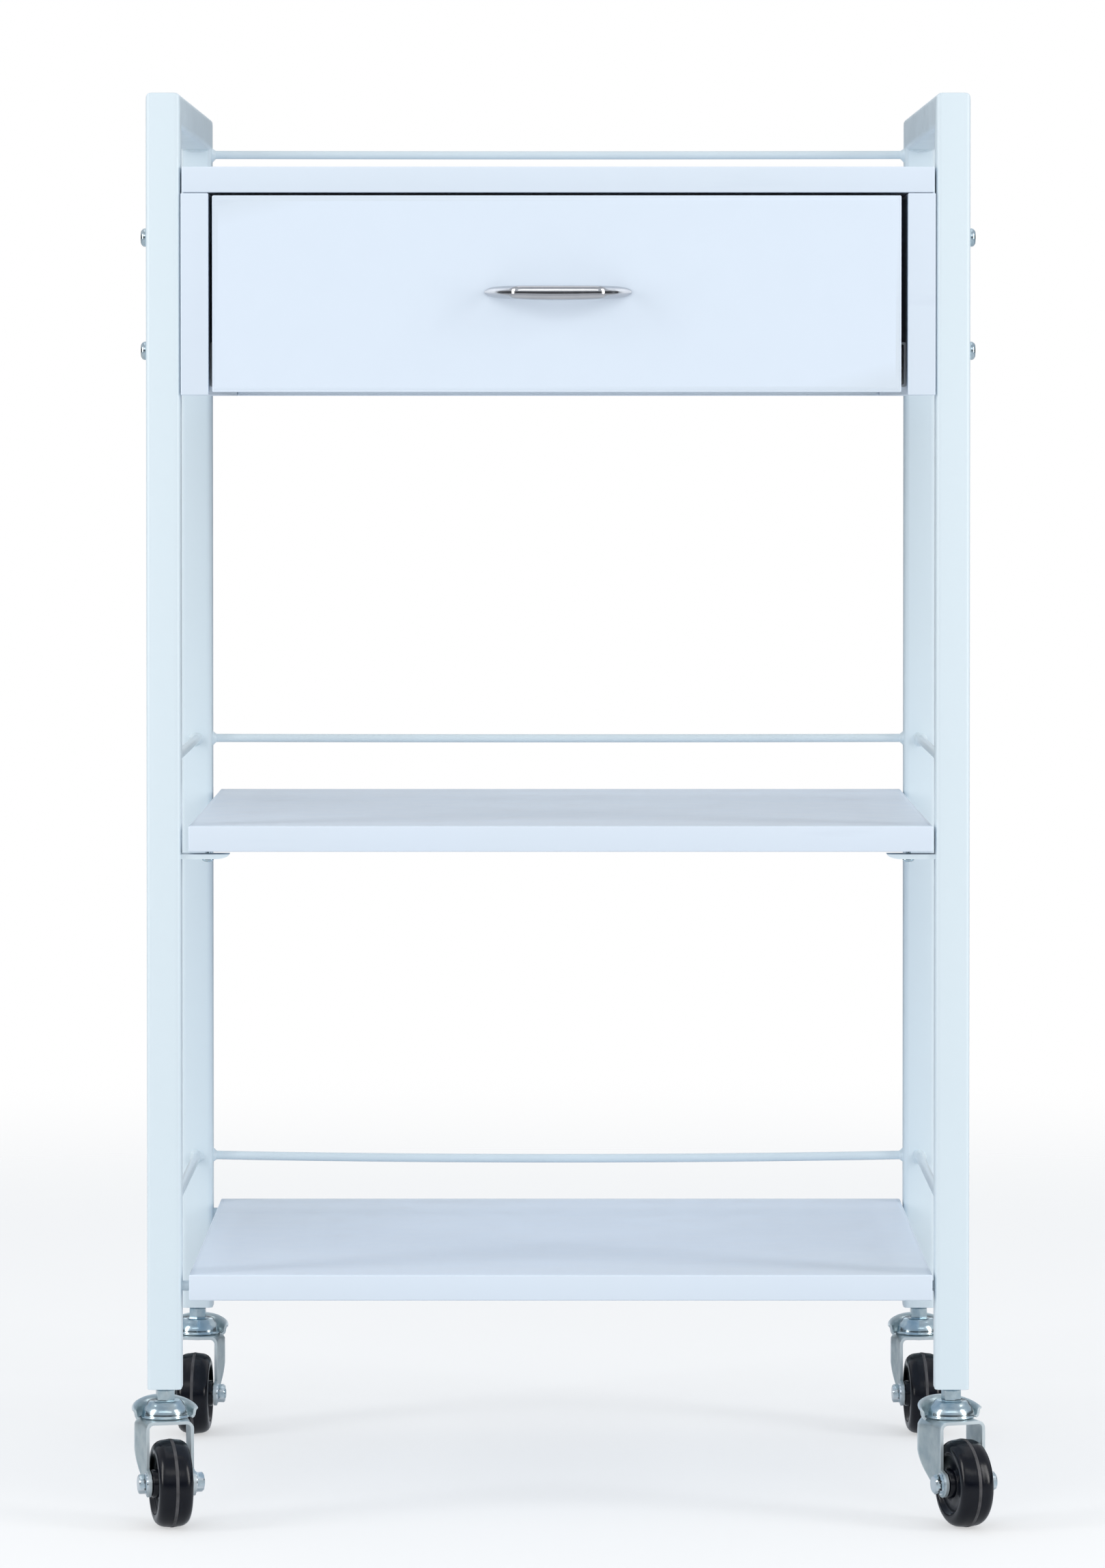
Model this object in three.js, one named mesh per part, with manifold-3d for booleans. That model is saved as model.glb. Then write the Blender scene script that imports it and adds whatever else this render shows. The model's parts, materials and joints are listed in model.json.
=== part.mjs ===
// Mobile printer stand: two welded tube side frames, three boards, a cabinet with one drawer, four casters.
// Millimetres, +Z up, +X to the right, +Y to the back. The origin is on the floor under the middle of the
// whole.
import * as THREE from "three";
import { mergeVertices } from "three/addons/utils/BufferGeometryUtils.js";
import Module from "manifold-3d";

const wasm = await Module();
wasm.setup();

// ---------------------------------------------------------------- driving dimensions
const GAP = 0.3; // between pieces that touch
const EDGE_CUT = 1; // how far a cutting solid runs past the face that it cuts

// side frames
const WIDTH = 480; // over the outer faces of the posts
const DEPTH = 350; // from the front posts' front faces to the back posts' back faces
const HEIGHT = 835; // top of the handle bars
const TUBE = 20;
const TUBE_WALL = 1.2;
const TUBE_RADIUS = 3; // outer corner radius of the square tube
const POST_BOTTOM = 78.5;
const FRONT = -163; // front faces of the front posts: the front wheels reach out before them
const BACK = FRONT + DEPTH;
const PLUG_THICKNESS = 4; // threaded plate welded into the foot of each post

// gallery rods
const ROD_DIAMETER = 5.5;
const TOP_ROD_Z = 812;
const MID_ROD_Z = 441;
const LOWER_ROD_Z = 175;
const LOWER_ROD_SAG = 2.4;
const SAG_POINTS = 8; // along the sagging rod

// boards
const BOARD = 15;
const TOP_BOARD_WIDTH = 438;
const TOP_BOARD_Z = 777; // undersides
const SHELF_WIDTH = 434;
const SHELF_SHIFT = 1.5; // both shelves sit this far to the right of the middle
const MID_SHELF_Z = 393;
const LOWER_SHELF_Z = 130.7;

// shelf supports
const TAB_REACH = 28;
const TAB_NOSE = 9; // length of the rounded nose
const TAB_TOP = 1.7; // space between the tab and the board
const TAB_THICKNESS = 2.8;
const PEG_DIAMETER = 6;
const PEG_LENGTH = 14;
const PEG_PLAY = 2; // left past the end of a peg in its hole

// cabinet and drawer
const CABINET_WIDTH = 437.2; // over the side panels
const CABINET_BOTTOM = 659;
const CABINET_BACK_INSET = 10; // from the back edges of the side panels
const DRAWER_FRONT_LEFT = -201.3;
const DRAWER_FRONT_RIGHT = 199.7;
const DRAWER_FRONT_BOTTOM = 660.8;
const DRAWER_FRONT_TOP = 775.3;
const DRAWER_BOX_WIDTH = 382.6;
const DRAWER_BOX_DEPTH = 290;
const DRAWER_BOX_HEIGHT = 80;
const DRAWER_BOX_Z = 669.5;
const DRAWER_WALL = 12;
const DRAWER_BACK_HEIGHT = 62;
const DRAWER_BOTTOM = 3;
const DRAWER_BOTTOM_RISE = 8; // of the bottom panel above the lower edges of the sides
const GROOVE = 5; // how far the bottom panel reaches into the sides

// drawer pull
const PULL_Z = 719;
const PULL_PITCH = 64;
const PULL_LENGTH = 84;
const PULL_PROJECTION = 20;
const PULL_HEIGHT = 9;
const PULL_THICKNESS = 5;
const PULL_FLATNESS = 0.55; // under 1 the bow is flatter across its middle than an ellipse
const PULL_STEPS = 16;
const PULL_SIDES = 10;
const PULL_HOLE_RADIUS = 2.3;
const PULL_SCREW_RADIUS = 1.9;
const PULL_SCREW_HEAD_RADIUS = 3.6;
const PULL_SCREW_HEAD = 2.6;
const PULL_SCREW_TAPER = 1.4; // conical part of the head
const PULL_SCREW_TIP = 0.4; // how far the tip stays behind the foot of the pull

// roller slides
const RAIL_SHEET = 1.2;
const RAIL_LENGTH = 300;
const RAIL_BOTTOM = 664;
const RAIL_HEIGHT = 26;
const RAIL_FLANGE = 10;
const DRAWER_FLANGE = 9;
const RAIL_LIP = 8; // width of the channel's upper lip
const RAIL_INSET = 1.5; // from the back of the drawer front to the rails
const ROLLER_RADIUS = 9;
const ROLLER_WIDTH = 6;
const ROLLER_CHAMFER = 0.8;
const ROLLER_OFFSET = 0.5; // outwards from the middle of the space beside the drawer
const ROLLER_BORE = 2.4; // radius
const ROLLER_PIN = 2; // radius
const ROLLER_END = 12; // roller axis from the end of its rail

// bolts through the posts into the cabinet
const BOLT_HEAD_DIAMETER = 11.3;
const BOLT_HEAD_HEIGHT = 3.2;
const BOLT_DIAMETER = 5;
const BOLT_HOLE = 6.2;
const BOLT_REACH = 31;
const BOLT_HEIGHTS = [685, 751];
const BOLT_DOME = [[1, 0.45], [0.86, 0.8], [0.5, 1]]; // shares of the head's radius and height

// casters, measured from the floor and from the swivel axis
const WHEEL_RADIUS = 25.8;
const WHEEL_WIDTH = 20;
const HUB_RADIUS = 8;
const HUB_WIDTH = 23;
const WHEEL_BORE = 3.4;
const WHEEL_RECESS = 1.5; // of the web below the side of the tread, at the hub
const WHEEL_SHOULDER = [[5.5, 0], [2.6, 1], [0.8, 3.5]]; // in from the tread and from the side
const TRAIL = 19.5;
const CROWN_BOTTOM = 59.3;
const FORK_SHEET = 1.8;
const FORK_INNER = 24.4; // between the legs
const FORK_FRONT = -18;
const FORK_BACK = 12;
const CROWN_BULGE = 1;
const LEG_FLARE = 0.2; // slope at which the back halves of the legs spread outwards
const CROWN_RADIUS = 17.5; // of the crown's round back
const AXLE_BOSS = 7.8;
const BOSS_END = 1.7 * Math.PI; // where the leg's back edge leaves the boss
const LEG_WAIST_Z = 41; // the back edge is straight down to here
const LEG_CURVE = [7, 27]; // [y, z] that the back edge bends towards on its way to the boss
const HOOD_RADIUS = 19.9;
const HOOD_FLARE = 2; // wider at the rim than at the crown
const HOOD_RISE = 0.3; // slope of the hood's rim, which climbs towards its back
const HOOD_RIM_Z = 65.7; // rim height at the sides
const CUP_RADIUS = 14.3;
const CUP_LIP = 0.4;
const CUP_WALL = [[13.3, 63.2], [12.3, 66], [10, 69.3], [8, 71]]; // [radius, z] up the outside of the cup
const CUP_TOP = 71.6;
const STEM_RADIUS = 4.3;
const STEM_TOP = 96;
const RIVET_RADIUS = 7;
const RIVET_HEIGHT = 2;
const RIVET_CHAMFER = 1;
const AXLE_RADIUS = 3;
const AXLE_HEX = 10; // across the flats
const AXLE_HEAD = 5.5;
const AXLE_END = 0.5; // thread that stands out of the nut
const AXLE_SEGMENTS = 10;
const WHEEL_SEGMENTS = 28;
const CASTERS = [
  { name: "front_left", side: -1, end: "front", turn: 13 },
  { name: "front_right", side: 1, end: "front", turn: 19 },
  { name: "rear_left", side: -1, end: "rear", turn: -2 },
  { name: "rear_right", side: 1, end: "rear", turn: 4 },
];

// worked out
const POST_X = WIDTH / 2 - TUBE / 2;
const POST_Y = { front: FRONT + TUBE / 2, rear: BACK - TUBE / 2 };
const INNER_X = WIDTH / 2 - TUBE; // inner faces of the posts
const PANEL_X = CABINET_WIDTH / 2 - BOARD / 2; // middle of a cabinet side panel
const PANEL_INNER_X = PANEL_X - BOARD / 2;
const CROWN_TOP = CROWN_BOTTOM + FORK_SHEET;
const AXLE_Z = WHEEL_RADIUS * Math.cos(Math.PI / WHEEL_SEGMENTS); // the wheel rests on one flat
const ROLLER_Z = RAIL_BOTTOM + RAIL_SHEET + GAP + ROLLER_RADIUS;
const RAIL_FRONT = FRONT + BOARD + RAIL_INSET;
const DRAWER_BOX_FRONT = FRONT + BOARD + GAP;
const SIDES = [
  { name: "left", sign: -1 },
  { name: "right", sign: 1 },
];

// ---------------------------------------------------------------- materials
const paint = (color, roughness, metalness) => () =>
  new THREE.MeshStandardMaterial({ color, roughness, metalness });
const powderCoat = paint(0xe4eef4, 0.45, 0.1);
const whiteBoard = paint(0xe6eef8, 0.4, 0);
const drawerBoard = paint(0xd9d9d6, 0.6, 0);
const zinc = paint(0xb4c3cb, 0.3, 1);
const chrome = paint(0xd6d8dc, 0.12, 1);
const whiteSteel = paint(0xd8dcde, 0.5, 0.2);
const whiteNylon = paint(0xe8e8e4, 0.5, 0);
const blackWheel = paint(0x101216, 0.3, 0);

// ---------------------------------------------------------------- solids
function toSolid(geometry) {
  const bare = geometry.clone();
  bare.deleteAttribute("normal");
  bare.deleteAttribute("uv");
  const merged = mergeVertices(bare, 1e-4);
  return new wasm.Manifold(
    new wasm.Mesh({
      numProp: 3,
      vertProperties: new Float32Array(merged.attributes.position.array),
      triVerts: new Uint32Array(merged.index.array),
    }),
  );
}

function toGeometry(solid) {
  const mesh = solid.getMesh();
  const geometry = new THREE.BufferGeometry();
  geometry.setAttribute("position", new THREE.BufferAttribute(mesh.vertProperties, 3));
  geometry.setIndex(new THREE.BufferAttribute(mesh.triVerts, 1));
  return geometry;
}

function combine(base, added, cut = []) {
  let solid = toSolid(base);
  for (const geometry of added) solid = solid.add(toSolid(geometry));
  for (const geometry of cut) solid = solid.subtract(toSolid(geometry));
  return toGeometry(solid);
}

// A box from its lowest to its highest corner.
function block(low, high) {
  const size = high.map((value, i) => value - low[i]);
  const middle = high.map((value, i) => (value + low[i]) / 2);
  return new THREE.BoxGeometry(...size).translate(...middle);
}

// A rod along one axis, from its middle.
function rod(axis, radius, length, segments, middle) {
  const geometry = new THREE.CylinderGeometry(radius, radius, length, segments);
  if (axis === "x") geometry.rotateZ(Math.PI / 2);
  if (axis === "z") geometry.rotateX(Math.PI / 2);
  return geometry.translate(...middle);
}

// A turned solid about Z from [radius, height] points that close or end on the axis, outside going up.
function turned(points, segments) {
  const profile = points.map(([radius, height]) => new THREE.Vector2(radius, height));
  return new THREE.LatheGeometry(profile, segments).rotateX(Math.PI / 2);
}

function outline(points) {
  return new THREE.Shape(points.map(([u, v]) => new THREE.Vector2(u, v)));
}

function roundedSquare(PathType, size, radius) {
  const path = new PathType();
  const h = size / 2;
  path.moveTo(h, -h + radius);
  path.lineTo(h, h - radius);
  path.absarc(h - radius, h - radius, radius, 0, Math.PI / 2, false);
  path.lineTo(-h + radius, h);
  path.absarc(-h + radius, h - radius, radius, Math.PI / 2, Math.PI, false);
  path.lineTo(-h, -h + radius);
  path.absarc(-h + radius, -h + radius, radius, Math.PI, 1.5 * Math.PI, false);
  path.lineTo(h - radius, -h);
  path.absarc(h - radius, -h + radius, radius, 1.5 * Math.PI, 2 * Math.PI, false);
  return path;
}

// Square tube along Z from 0 to length.
function squareTube(length) {
  const section = roundedSquare(THREE.Shape, TUBE, TUBE_RADIUS);
  section.holes.push(roundedSquare(THREE.Path, TUBE - 2 * TUBE_WALL, TUBE_RADIUS - TUBE_WALL));
  return new THREE.ExtrudeGeometry(section, { depth: length, bevelEnabled: false, curveSegments: 2 });
}

// ---------------------------------------------------------------- scene graph
const stand = new THREE.Group();

function addPart(name, geometry, material, group = stand) {
  const mesh = new THREE.Mesh(geometry, material());
  mesh.name = name;
  group.add(mesh);
  return mesh;
}

// ---------------------------------------------------------------- side frames
// A turned block whose face lies on the 45 degree mitre of the corner at outerY. With towards 1 it removes
// the bar's side of the mitre, with -1 the post's side.
function mitreCutter(outerY, direction, towards) {
  const size = 4 * TUBE;
  const shift = (towards * (size - GAP)) / 2 / Math.SQRT2;
  const cutter = new THREE.BoxGeometry(2 * WIDTH, size, size).rotateX(Math.PI / 4);
  return cutter.translate(0, outerY + direction * (TUBE / 2 + shift), HEIGHT - TUBE / 2 + shift);
}

// Bracket under the corner of the middle shelf, flat with a nose that rounds up, reaching inwards.
function shelfTab(side, y) {
  const top = MID_SHELF_Z - TAB_TOP;
  const bottom = top - TAB_THICKNESS;
  const straight = TAB_REACH + TUBE_WALL - TAB_NOSE;
  const depth = TUBE - 2 * TUBE_RADIUS;
  const shape = new THREE.Shape();
  shape.moveTo(0, bottom);
  shape.lineTo(straight, bottom);
  shape.absellipse(straight, top, TAB_NOSE, TAB_THICKNESS, -Math.PI / 2, 0, false);
  shape.lineTo(0, top);
  const tab = new THREE.ExtrudeGeometry(shape, { depth, bevelEnabled: false, curveSegments: 4 });
  // shape (inwards, z) extruded along Y, with its root inside the wall of the post
  const start = side * (INNER_X + TUBE_WALL);
  const matrix = new THREE.Matrix4();
  matrix.set(-side, 0, 0, start, 0, 0, side, y - (side * depth) / 2, 0, 1, 0, 0, 0, 0, 0, 1);
  return tab.applyMatrix4(matrix);
}

// Peg on which one corner of the lower shelf hangs.
function shelfPeg(side, y, diameter, length) {
  const middle = side * (INNER_X - length / 2 + TUBE_WALL / 2);
  return rod("x", diameter / 2, length + TUBE_WALL, 8, [middle, y, LOWER_SHELF_Z + BOARD / 2]);
}

function post(side, end) {
  const y = POST_Y[end];
  const direction = end === "front" ? 1 : -1;
  const outerY = end === "front" ? FRONT : BACK;
  const tube = squareTube(HEIGHT - POST_BOTTOM).translate(side * POST_X, y, POST_BOTTOM);
  const inside = TUBE / 2 - TUBE_WALL / 2;
  const plug = block(
    [side * POST_X - inside, y - inside, POST_BOTTOM],
    [side * POST_X + inside, y + inside, POST_BOTTOM + PLUG_THICKNESS],
  );
  const cuts = [
    mitreCutter(outerY, direction, 1),
    rod("z", STEM_RADIUS + 2 * GAP, 3 * PLUG_THICKNESS, 12, [side * POST_X, y, POST_BOTTOM]),
  ];
  for (const z of BOLT_HEIGHTS) cuts.push(rod("x", BOLT_HOLE / 2, 2 * TUBE, 8, [side * POST_X, y, z]));
  return combine(tube, [plug, shelfTab(side, y), shelfPeg(side, y, PEG_DIAMETER, PEG_LENGTH)], cuts);
}

function handleBar(side) {
  const bar = squareTube(DEPTH).rotateX(-Math.PI / 2).translate(side * POST_X, FRONT, HEIGHT - TUBE / 2);
  return combine(bar, [], [mitreCutter(FRONT, 1, -1), mitreCutter(BACK, -1, -1)]);
}

for (const { name, sign } of SIDES) {
  addPart(`handle_bar_${name}`, handleBar(sign), powderCoat);
  for (const end of ["front", "rear"]) addPart(`post_${end}_${name}`, post(sign, end), powderCoat);
}

// ---------------------------------------------------------------- gallery rods
function sideRod(side, z) {
  const length = DEPTH - 2 * TUBE - 2 * GAP;
  return rod("y", ROD_DIAMETER / 2, length, 10, [side * POST_X, (FRONT + BACK) / 2, z]);
}

// Rod between the back posts, sagging as a parabola.
function backRod(z, sag) {
  const reach = INNER_X - GAP;
  if (sag === 0) return rod("x", ROD_DIAMETER / 2, 2 * reach, 10, [0, POST_Y.rear, z]);
  const points = [];
  for (let i = 0; i <= SAG_POINTS; i++) {
    const u = (2 * i) / SAG_POINTS - 1;
    points.push(new THREE.Vector3(u * reach, POST_Y.rear, z - sag * (1 - u * u)));
  }
  const section = new THREE.Shape();
  section.absarc(0, 0, ROD_DIAMETER / 2, 0, 2 * Math.PI, false);
  return new THREE.ExtrudeGeometry(section, {
    steps: 14,
    curveSegments: 5,
    bevelEnabled: false,
    extrudePath: new THREE.CatmullRomCurve3(points),
  });
}

addPart("back_rod_top", backRod(TOP_ROD_Z, 0), powderCoat);
addPart("back_rod_mid", backRod(MID_ROD_Z, 0), powderCoat);
addPart("back_rod_lower", backRod(LOWER_ROD_Z, LOWER_ROD_SAG), powderCoat);
for (const { name, sign } of SIDES) {
  addPart(`side_rod_mid_${name}`, sideRod(sign, MID_ROD_Z), powderCoat);
  addPart(`side_rod_lower_${name}`, sideRod(sign, LOWER_ROD_Z), powderCoat);
}

// ---------------------------------------------------------------- boards
function board(width, shift, z) {
  return block([shift - width / 2, FRONT, z], [shift + width / 2, BACK, z + BOARD]);
}

function lowerShelf() {
  const holes = [];
  for (const side of [-1, 1]) {
    for (const y of Object.values(POST_Y)) {
      holes.push(shelfPeg(side, y, PEG_DIAMETER + 2 * GAP, PEG_LENGTH + PEG_PLAY));
    }
  }
  return combine(board(SHELF_WIDTH, SHELF_SHIFT, LOWER_SHELF_Z), [], holes);
}

addPart("top_board", board(TOP_BOARD_WIDTH, 0, TOP_BOARD_Z), whiteBoard);
addPart("mid_shelf", board(SHELF_WIDTH, SHELF_SHIFT, MID_SHELF_Z), whiteBoard);
addPart("lower_shelf", lowerShelf(), whiteBoard);

// ---------------------------------------------------------------- cabinet
const CABINET_TOP = TOP_BOARD_Z - GAP;
const BOLT_TIP_X = WIDTH / 2 - BOLT_REACH;

function cabinetSide(side) {
  const panel = block(
    [side * PANEL_X - BOARD / 2, FRONT, CABINET_BOTTOM],
    [side * PANEL_X + BOARD / 2, BACK, CABINET_TOP],
  );
  const holes = [];
  const tip = BOLT_TIP_X - EDGE_CUT;
  for (const y of Object.values(POST_Y)) {
    for (const z of BOLT_HEIGHTS) {
      holes.push(rod("x", BOLT_HOLE / 2, WIDTH / 2 - tip, 8, [(side * (WIDTH / 2 + tip)) / 2, y, z]));
    }
  }
  return combine(panel, [], holes);
}

function cabinetBack() {
  const back = BACK - CABINET_BACK_INSET;
  const reach = PANEL_INNER_X - GAP;
  return block([-reach, back - BOARD, CABINET_BOTTOM], [reach, back, CABINET_TOP]);
}

function cabinetBolt(side, y, z) {
  const r = BOLT_HEAD_DIAMETER / 2;
  const h = BOLT_HEAD_HEIGHT;
  const profile = [
    [0, GAP - BOLT_REACH],
    [BOLT_DIAMETER / 2, GAP - BOLT_REACH],
    [BOLT_DIAMETER / 2, GAP],
    [r, GAP],
    ...BOLT_DOME.map(([out, up]) => [out * r, up * h]),
    [0, h],
  ];
  return turned(profile, 10).rotateY((side * Math.PI) / 2).translate((side * WIDTH) / 2, y, z);
}

addPart("cabinet_back", cabinetBack(), whiteBoard);
for (const { name, sign } of SIDES) {
  addPart(`cabinet_side_${name}`, cabinetSide(sign), whiteBoard);
  for (const end of ["front", "rear"]) {
    BOLT_HEIGHTS.forEach((z, i) => {
      const level = i === 0 ? "low" : "high";
      addPart(`cabinet_bolt_${end}_${name}_${level}`, cabinetBolt(sign, POST_Y[end], z), zinc);
    });
  }
}

// ---------------------------------------------------------------- roller slides
const DRAWER_SIDE_X = DRAWER_BOX_WIDTH / 2;
const ROLLER_X = (DRAWER_SIDE_X + PANEL_INNER_X) / 2 + ROLLER_OFFSET; // middle of a roller
const ROLLER_Y = { slide: RAIL_FRONT + ROLLER_END, drawer: RAIL_FRONT + RAIL_LENGTH - ROLLER_END };

// An outline of [distance from the middle plane, z] points, extruded along Y.
function rail(side, points, front, back) {
  const shape = outline(points.map(([x, z]) => [side * x, z]));
  const profile = new THREE.ExtrudeGeometry(shape, { depth: back - front, bevelEnabled: false });
  return profile.applyMatrix4(new THREE.Matrix4().set(1, 0, 0, 0, 0, 0, -1, back, 0, 1, 0, 0, 0, 0, 0, 1));
}

// Pin of a roller, between two distances from the middle plane.
function rollerPin(side, inner, outer, y) {
  return rod("x", ROLLER_PIN, outer - inner, 10, [(side * (inner + outer)) / 2, y, ROLLER_Z]);
}

// Channel screwed to the cabinet side, with the pin of its front roller.
function slideRail(side) {
  const web = PANEL_INNER_X - GAP;
  const lip = web - RAIL_FLANGE;
  const low = RAIL_BOTTOM;
  const high = RAIL_BOTTOM + RAIL_HEIGHT;
  const channel = rail(side, [
    [web, low],
    [web, high],
    [web - RAIL_LIP, high],
    [web - RAIL_LIP, high - RAIL_SHEET],
    [web - RAIL_SHEET, high - RAIL_SHEET],
    [web - RAIL_SHEET, low + RAIL_SHEET],
    [lip, low + RAIL_SHEET],
    [lip, low],
  ], RAIL_FRONT, RAIL_FRONT + RAIL_LENGTH);
  const end = ROLLER_X - ROLLER_WIDTH / 2 - GAP;
  return combine(channel, [rollerPin(side, end, web - RAIL_SHEET / 2, ROLLER_Y.slide)]);
}

// Angle under the drawer's side with a flange that runs on the cabinet's roller, and the pin of its own
// back roller.
function drawerRail(side) {
  const web = DRAWER_SIDE_X + GAP;
  const flange = ROLLER_Z + ROLLER_RADIUS + GAP;
  const low = DRAWER_BOX_Z - GAP - RAIL_SHEET;
  const back = RAIL_FRONT + RAIL_LENGTH;
  const angle = rail(side, [
    [web - DRAWER_WALL, low],
    [web + RAIL_SHEET, low],
    [web + RAIL_SHEET, flange],
    [web + DRAWER_FLANGE, flange],
    [web + DRAWER_FLANGE, flange + RAIL_SHEET],
    [web, flange + RAIL_SHEET],
    [web, low + RAIL_SHEET],
    [web - DRAWER_WALL, low + RAIL_SHEET],
  ], DRAWER_BOX_FRONT, back);
  const end = ROLLER_X + ROLLER_WIDTH / 2 + GAP;
  return combine(angle, [rollerPin(side, web + RAIL_SHEET / 2, end, ROLLER_Y.drawer)]);
}

function roller(side, y) {
  const half = ROLLER_WIDTH / 2;
  const profile = [
    [ROLLER_BORE, -half],
    [ROLLER_RADIUS - ROLLER_CHAMFER, -half],
    [ROLLER_RADIUS, ROLLER_CHAMFER - half],
    [ROLLER_RADIUS, half - ROLLER_CHAMFER],
    [ROLLER_RADIUS - ROLLER_CHAMFER, half],
    [ROLLER_BORE, half],
    [ROLLER_BORE, -half],
  ];
  return turned(profile, 16).rotateY(Math.PI / 2).translate(side * ROLLER_X, y, ROLLER_Z);
}

for (const { name, sign } of SIDES) {
  addPart(`slide_rail_${name}`, slideRail(sign), whiteSteel);
  addPart(`slide_roller_${name}`, roller(sign, ROLLER_Y.slide), whiteNylon);
  addPart(`drawer_rail_${name}`, drawerRail(sign), whiteSteel);
  addPart(`drawer_roller_${name}`, roller(sign, ROLLER_Y.drawer), whiteNylon);
}

// ---------------------------------------------------------------- drawer
const DRAWER_BOX_BACK = DRAWER_BOX_FRONT + DRAWER_BOX_DEPTH;
const BOTTOM_Z = DRAWER_BOX_Z + DRAWER_BOTTOM_RISE;

function pullScrewX(side) {
  return (side * PULL_PITCH) / 2;
}

function drawerFront() {
  const panel = block(
    [DRAWER_FRONT_LEFT, FRONT, DRAWER_FRONT_BOTTOM],
    [DRAWER_FRONT_RIGHT, FRONT + BOARD, DRAWER_FRONT_TOP],
  );
  const holes = [-1, 1].map((side) => {
    return rod("y", PULL_HOLE_RADIUS, 3 * BOARD, 10, [pullScrewX(side), FRONT, PULL_Z]);
  });
  return combine(panel, [], holes);
}

function drawerSide(side) {
  const inner = side * (DRAWER_SIDE_X - DRAWER_WALL);
  const outer = side * DRAWER_SIDE_X;
  const low = Math.min(inner, outer);
  const high = Math.max(inner, outer);
  const wall = block(
    [low, DRAWER_BOX_FRONT, DRAWER_BOX_Z],
    [high, DRAWER_BOX_BACK, DRAWER_BOX_Z + DRAWER_BOX_HEIGHT],
  );
  const grooveReach = DRAWER_SIDE_X - DRAWER_WALL + GROOVE + GAP;
  const groove = block(
    [-grooveReach, DRAWER_BOX_FRONT - EDGE_CUT, BOTTOM_Z - GAP],
    [grooveReach, DRAWER_BOX_BACK + EDGE_CUT, BOTTOM_Z + DRAWER_BOTTOM + GAP],
  );
  return combine(wall, [], [groove]);
}

function drawerBack() {
  const reach = DRAWER_SIDE_X - DRAWER_WALL - GAP;
  const bottom = BOTTOM_Z + DRAWER_BOTTOM + GAP;
  const front = DRAWER_BOX_BACK - DRAWER_WALL;
  return block([-reach, front, bottom], [reach, DRAWER_BOX_BACK, bottom + DRAWER_BACK_HEIGHT]);
}

function drawerBottom() {
  const reach = DRAWER_SIDE_X - DRAWER_WALL + GROOVE;
  const top = BOTTOM_Z + DRAWER_BOTTOM;
  return block([-reach, DRAWER_BOX_FRONT + GAP, BOTTOM_Z], [reach, DRAWER_BOX_BACK, top]);
}

addPart("drawer_front", drawerFront(), whiteBoard);
addPart("drawer_back", drawerBack(), drawerBoard);
addPart("drawer_bottom", drawerBottom(), drawerBoard);
for (const { name, sign } of SIDES) addPart(`drawer_side_${name}`, drawerSide(sign), drawerBoard);

// Bow pull: an elliptical bar that leaves one foot, runs level across the middle and enters the other foot.
function drawerPull() {
  const half = PULL_LENGTH / 2 - PULL_HEIGHT / 4;
  const positions = [];
  const index = [];
  for (let i = 0; i <= PULL_STEPS; i++) {
    const angle = Math.PI * (i / PULL_STEPS);
    const x = -half * Math.cos(angle);
    const reach = Math.sin(angle) ** PULL_FLATNESS;
    const y = FRONT - GAP - (PULL_PROJECTION - PULL_THICKNESS / 2) * reach;
    const tangent = new THREE.Vector2(Math.sin(angle) * half, -Math.cos(angle) * PULL_PROJECTION);
    if (i === 0 || i === PULL_STEPS) tangent.set(0, i === 0 ? -1 : 1);
    tangent.normalize();
    for (let j = 0; j < PULL_SIDES; j++) {
      const turn = (2 * Math.PI * j) / PULL_SIDES;
      const across = (PULL_THICKNESS / 2) * Math.cos(turn);
      const up = (PULL_HEIGHT / 2) * Math.sin(turn);
      positions.push(x - tangent.y * across, y + tangent.x * across, PULL_Z + up);
    }
  }
  for (let i = 0; i < PULL_STEPS; i++) {
    for (let j = 0; j < PULL_SIDES; j++) {
      const a = i * PULL_SIDES + j;
      const b = i * PULL_SIDES + ((j + 1) % PULL_SIDES);
      index.push(a, b, a + PULL_SIDES, b, b + PULL_SIDES, a + PULL_SIDES);
    }
  }
  for (let j = 1; j < PULL_SIDES - 1; j++) {
    const last = PULL_STEPS * PULL_SIDES;
    index.push(0, j + 1, j, last, last + j, last + j + 1);
  }
  const bar = new THREE.BufferGeometry();
  bar.setAttribute("position", new THREE.Float32BufferAttribute(positions, 3));
  bar.setIndex(index);
  return bar;
}

addPart("drawer_pull", drawerPull(), chrome);

function pullScrew(side) {
  const top = FRONT + BOARD + GAP + PULL_SCREW_HEAD;
  const length = top - (FRONT - GAP + PULL_SCREW_TIP);
  const profile = [
    [0, 0],
    [PULL_SCREW_HEAD_RADIUS, 0],
    [PULL_SCREW_HEAD_RADIUS, PULL_SCREW_HEAD - PULL_SCREW_TAPER],
    [PULL_SCREW_RADIUS, PULL_SCREW_HEAD],
    [PULL_SCREW_RADIUS, length],
    [0, length],
  ];
  // the head sits behind the drawer front and the shank runs forwards to the foot of the pull
  return turned(profile, 10).rotateX(Math.PI / 2).translate(pullScrewX(side), top, PULL_Z);
}

for (const { name, sign } of SIDES) addPart(`pull_screw_${name}`, pullScrew(sign), zinc);

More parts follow.
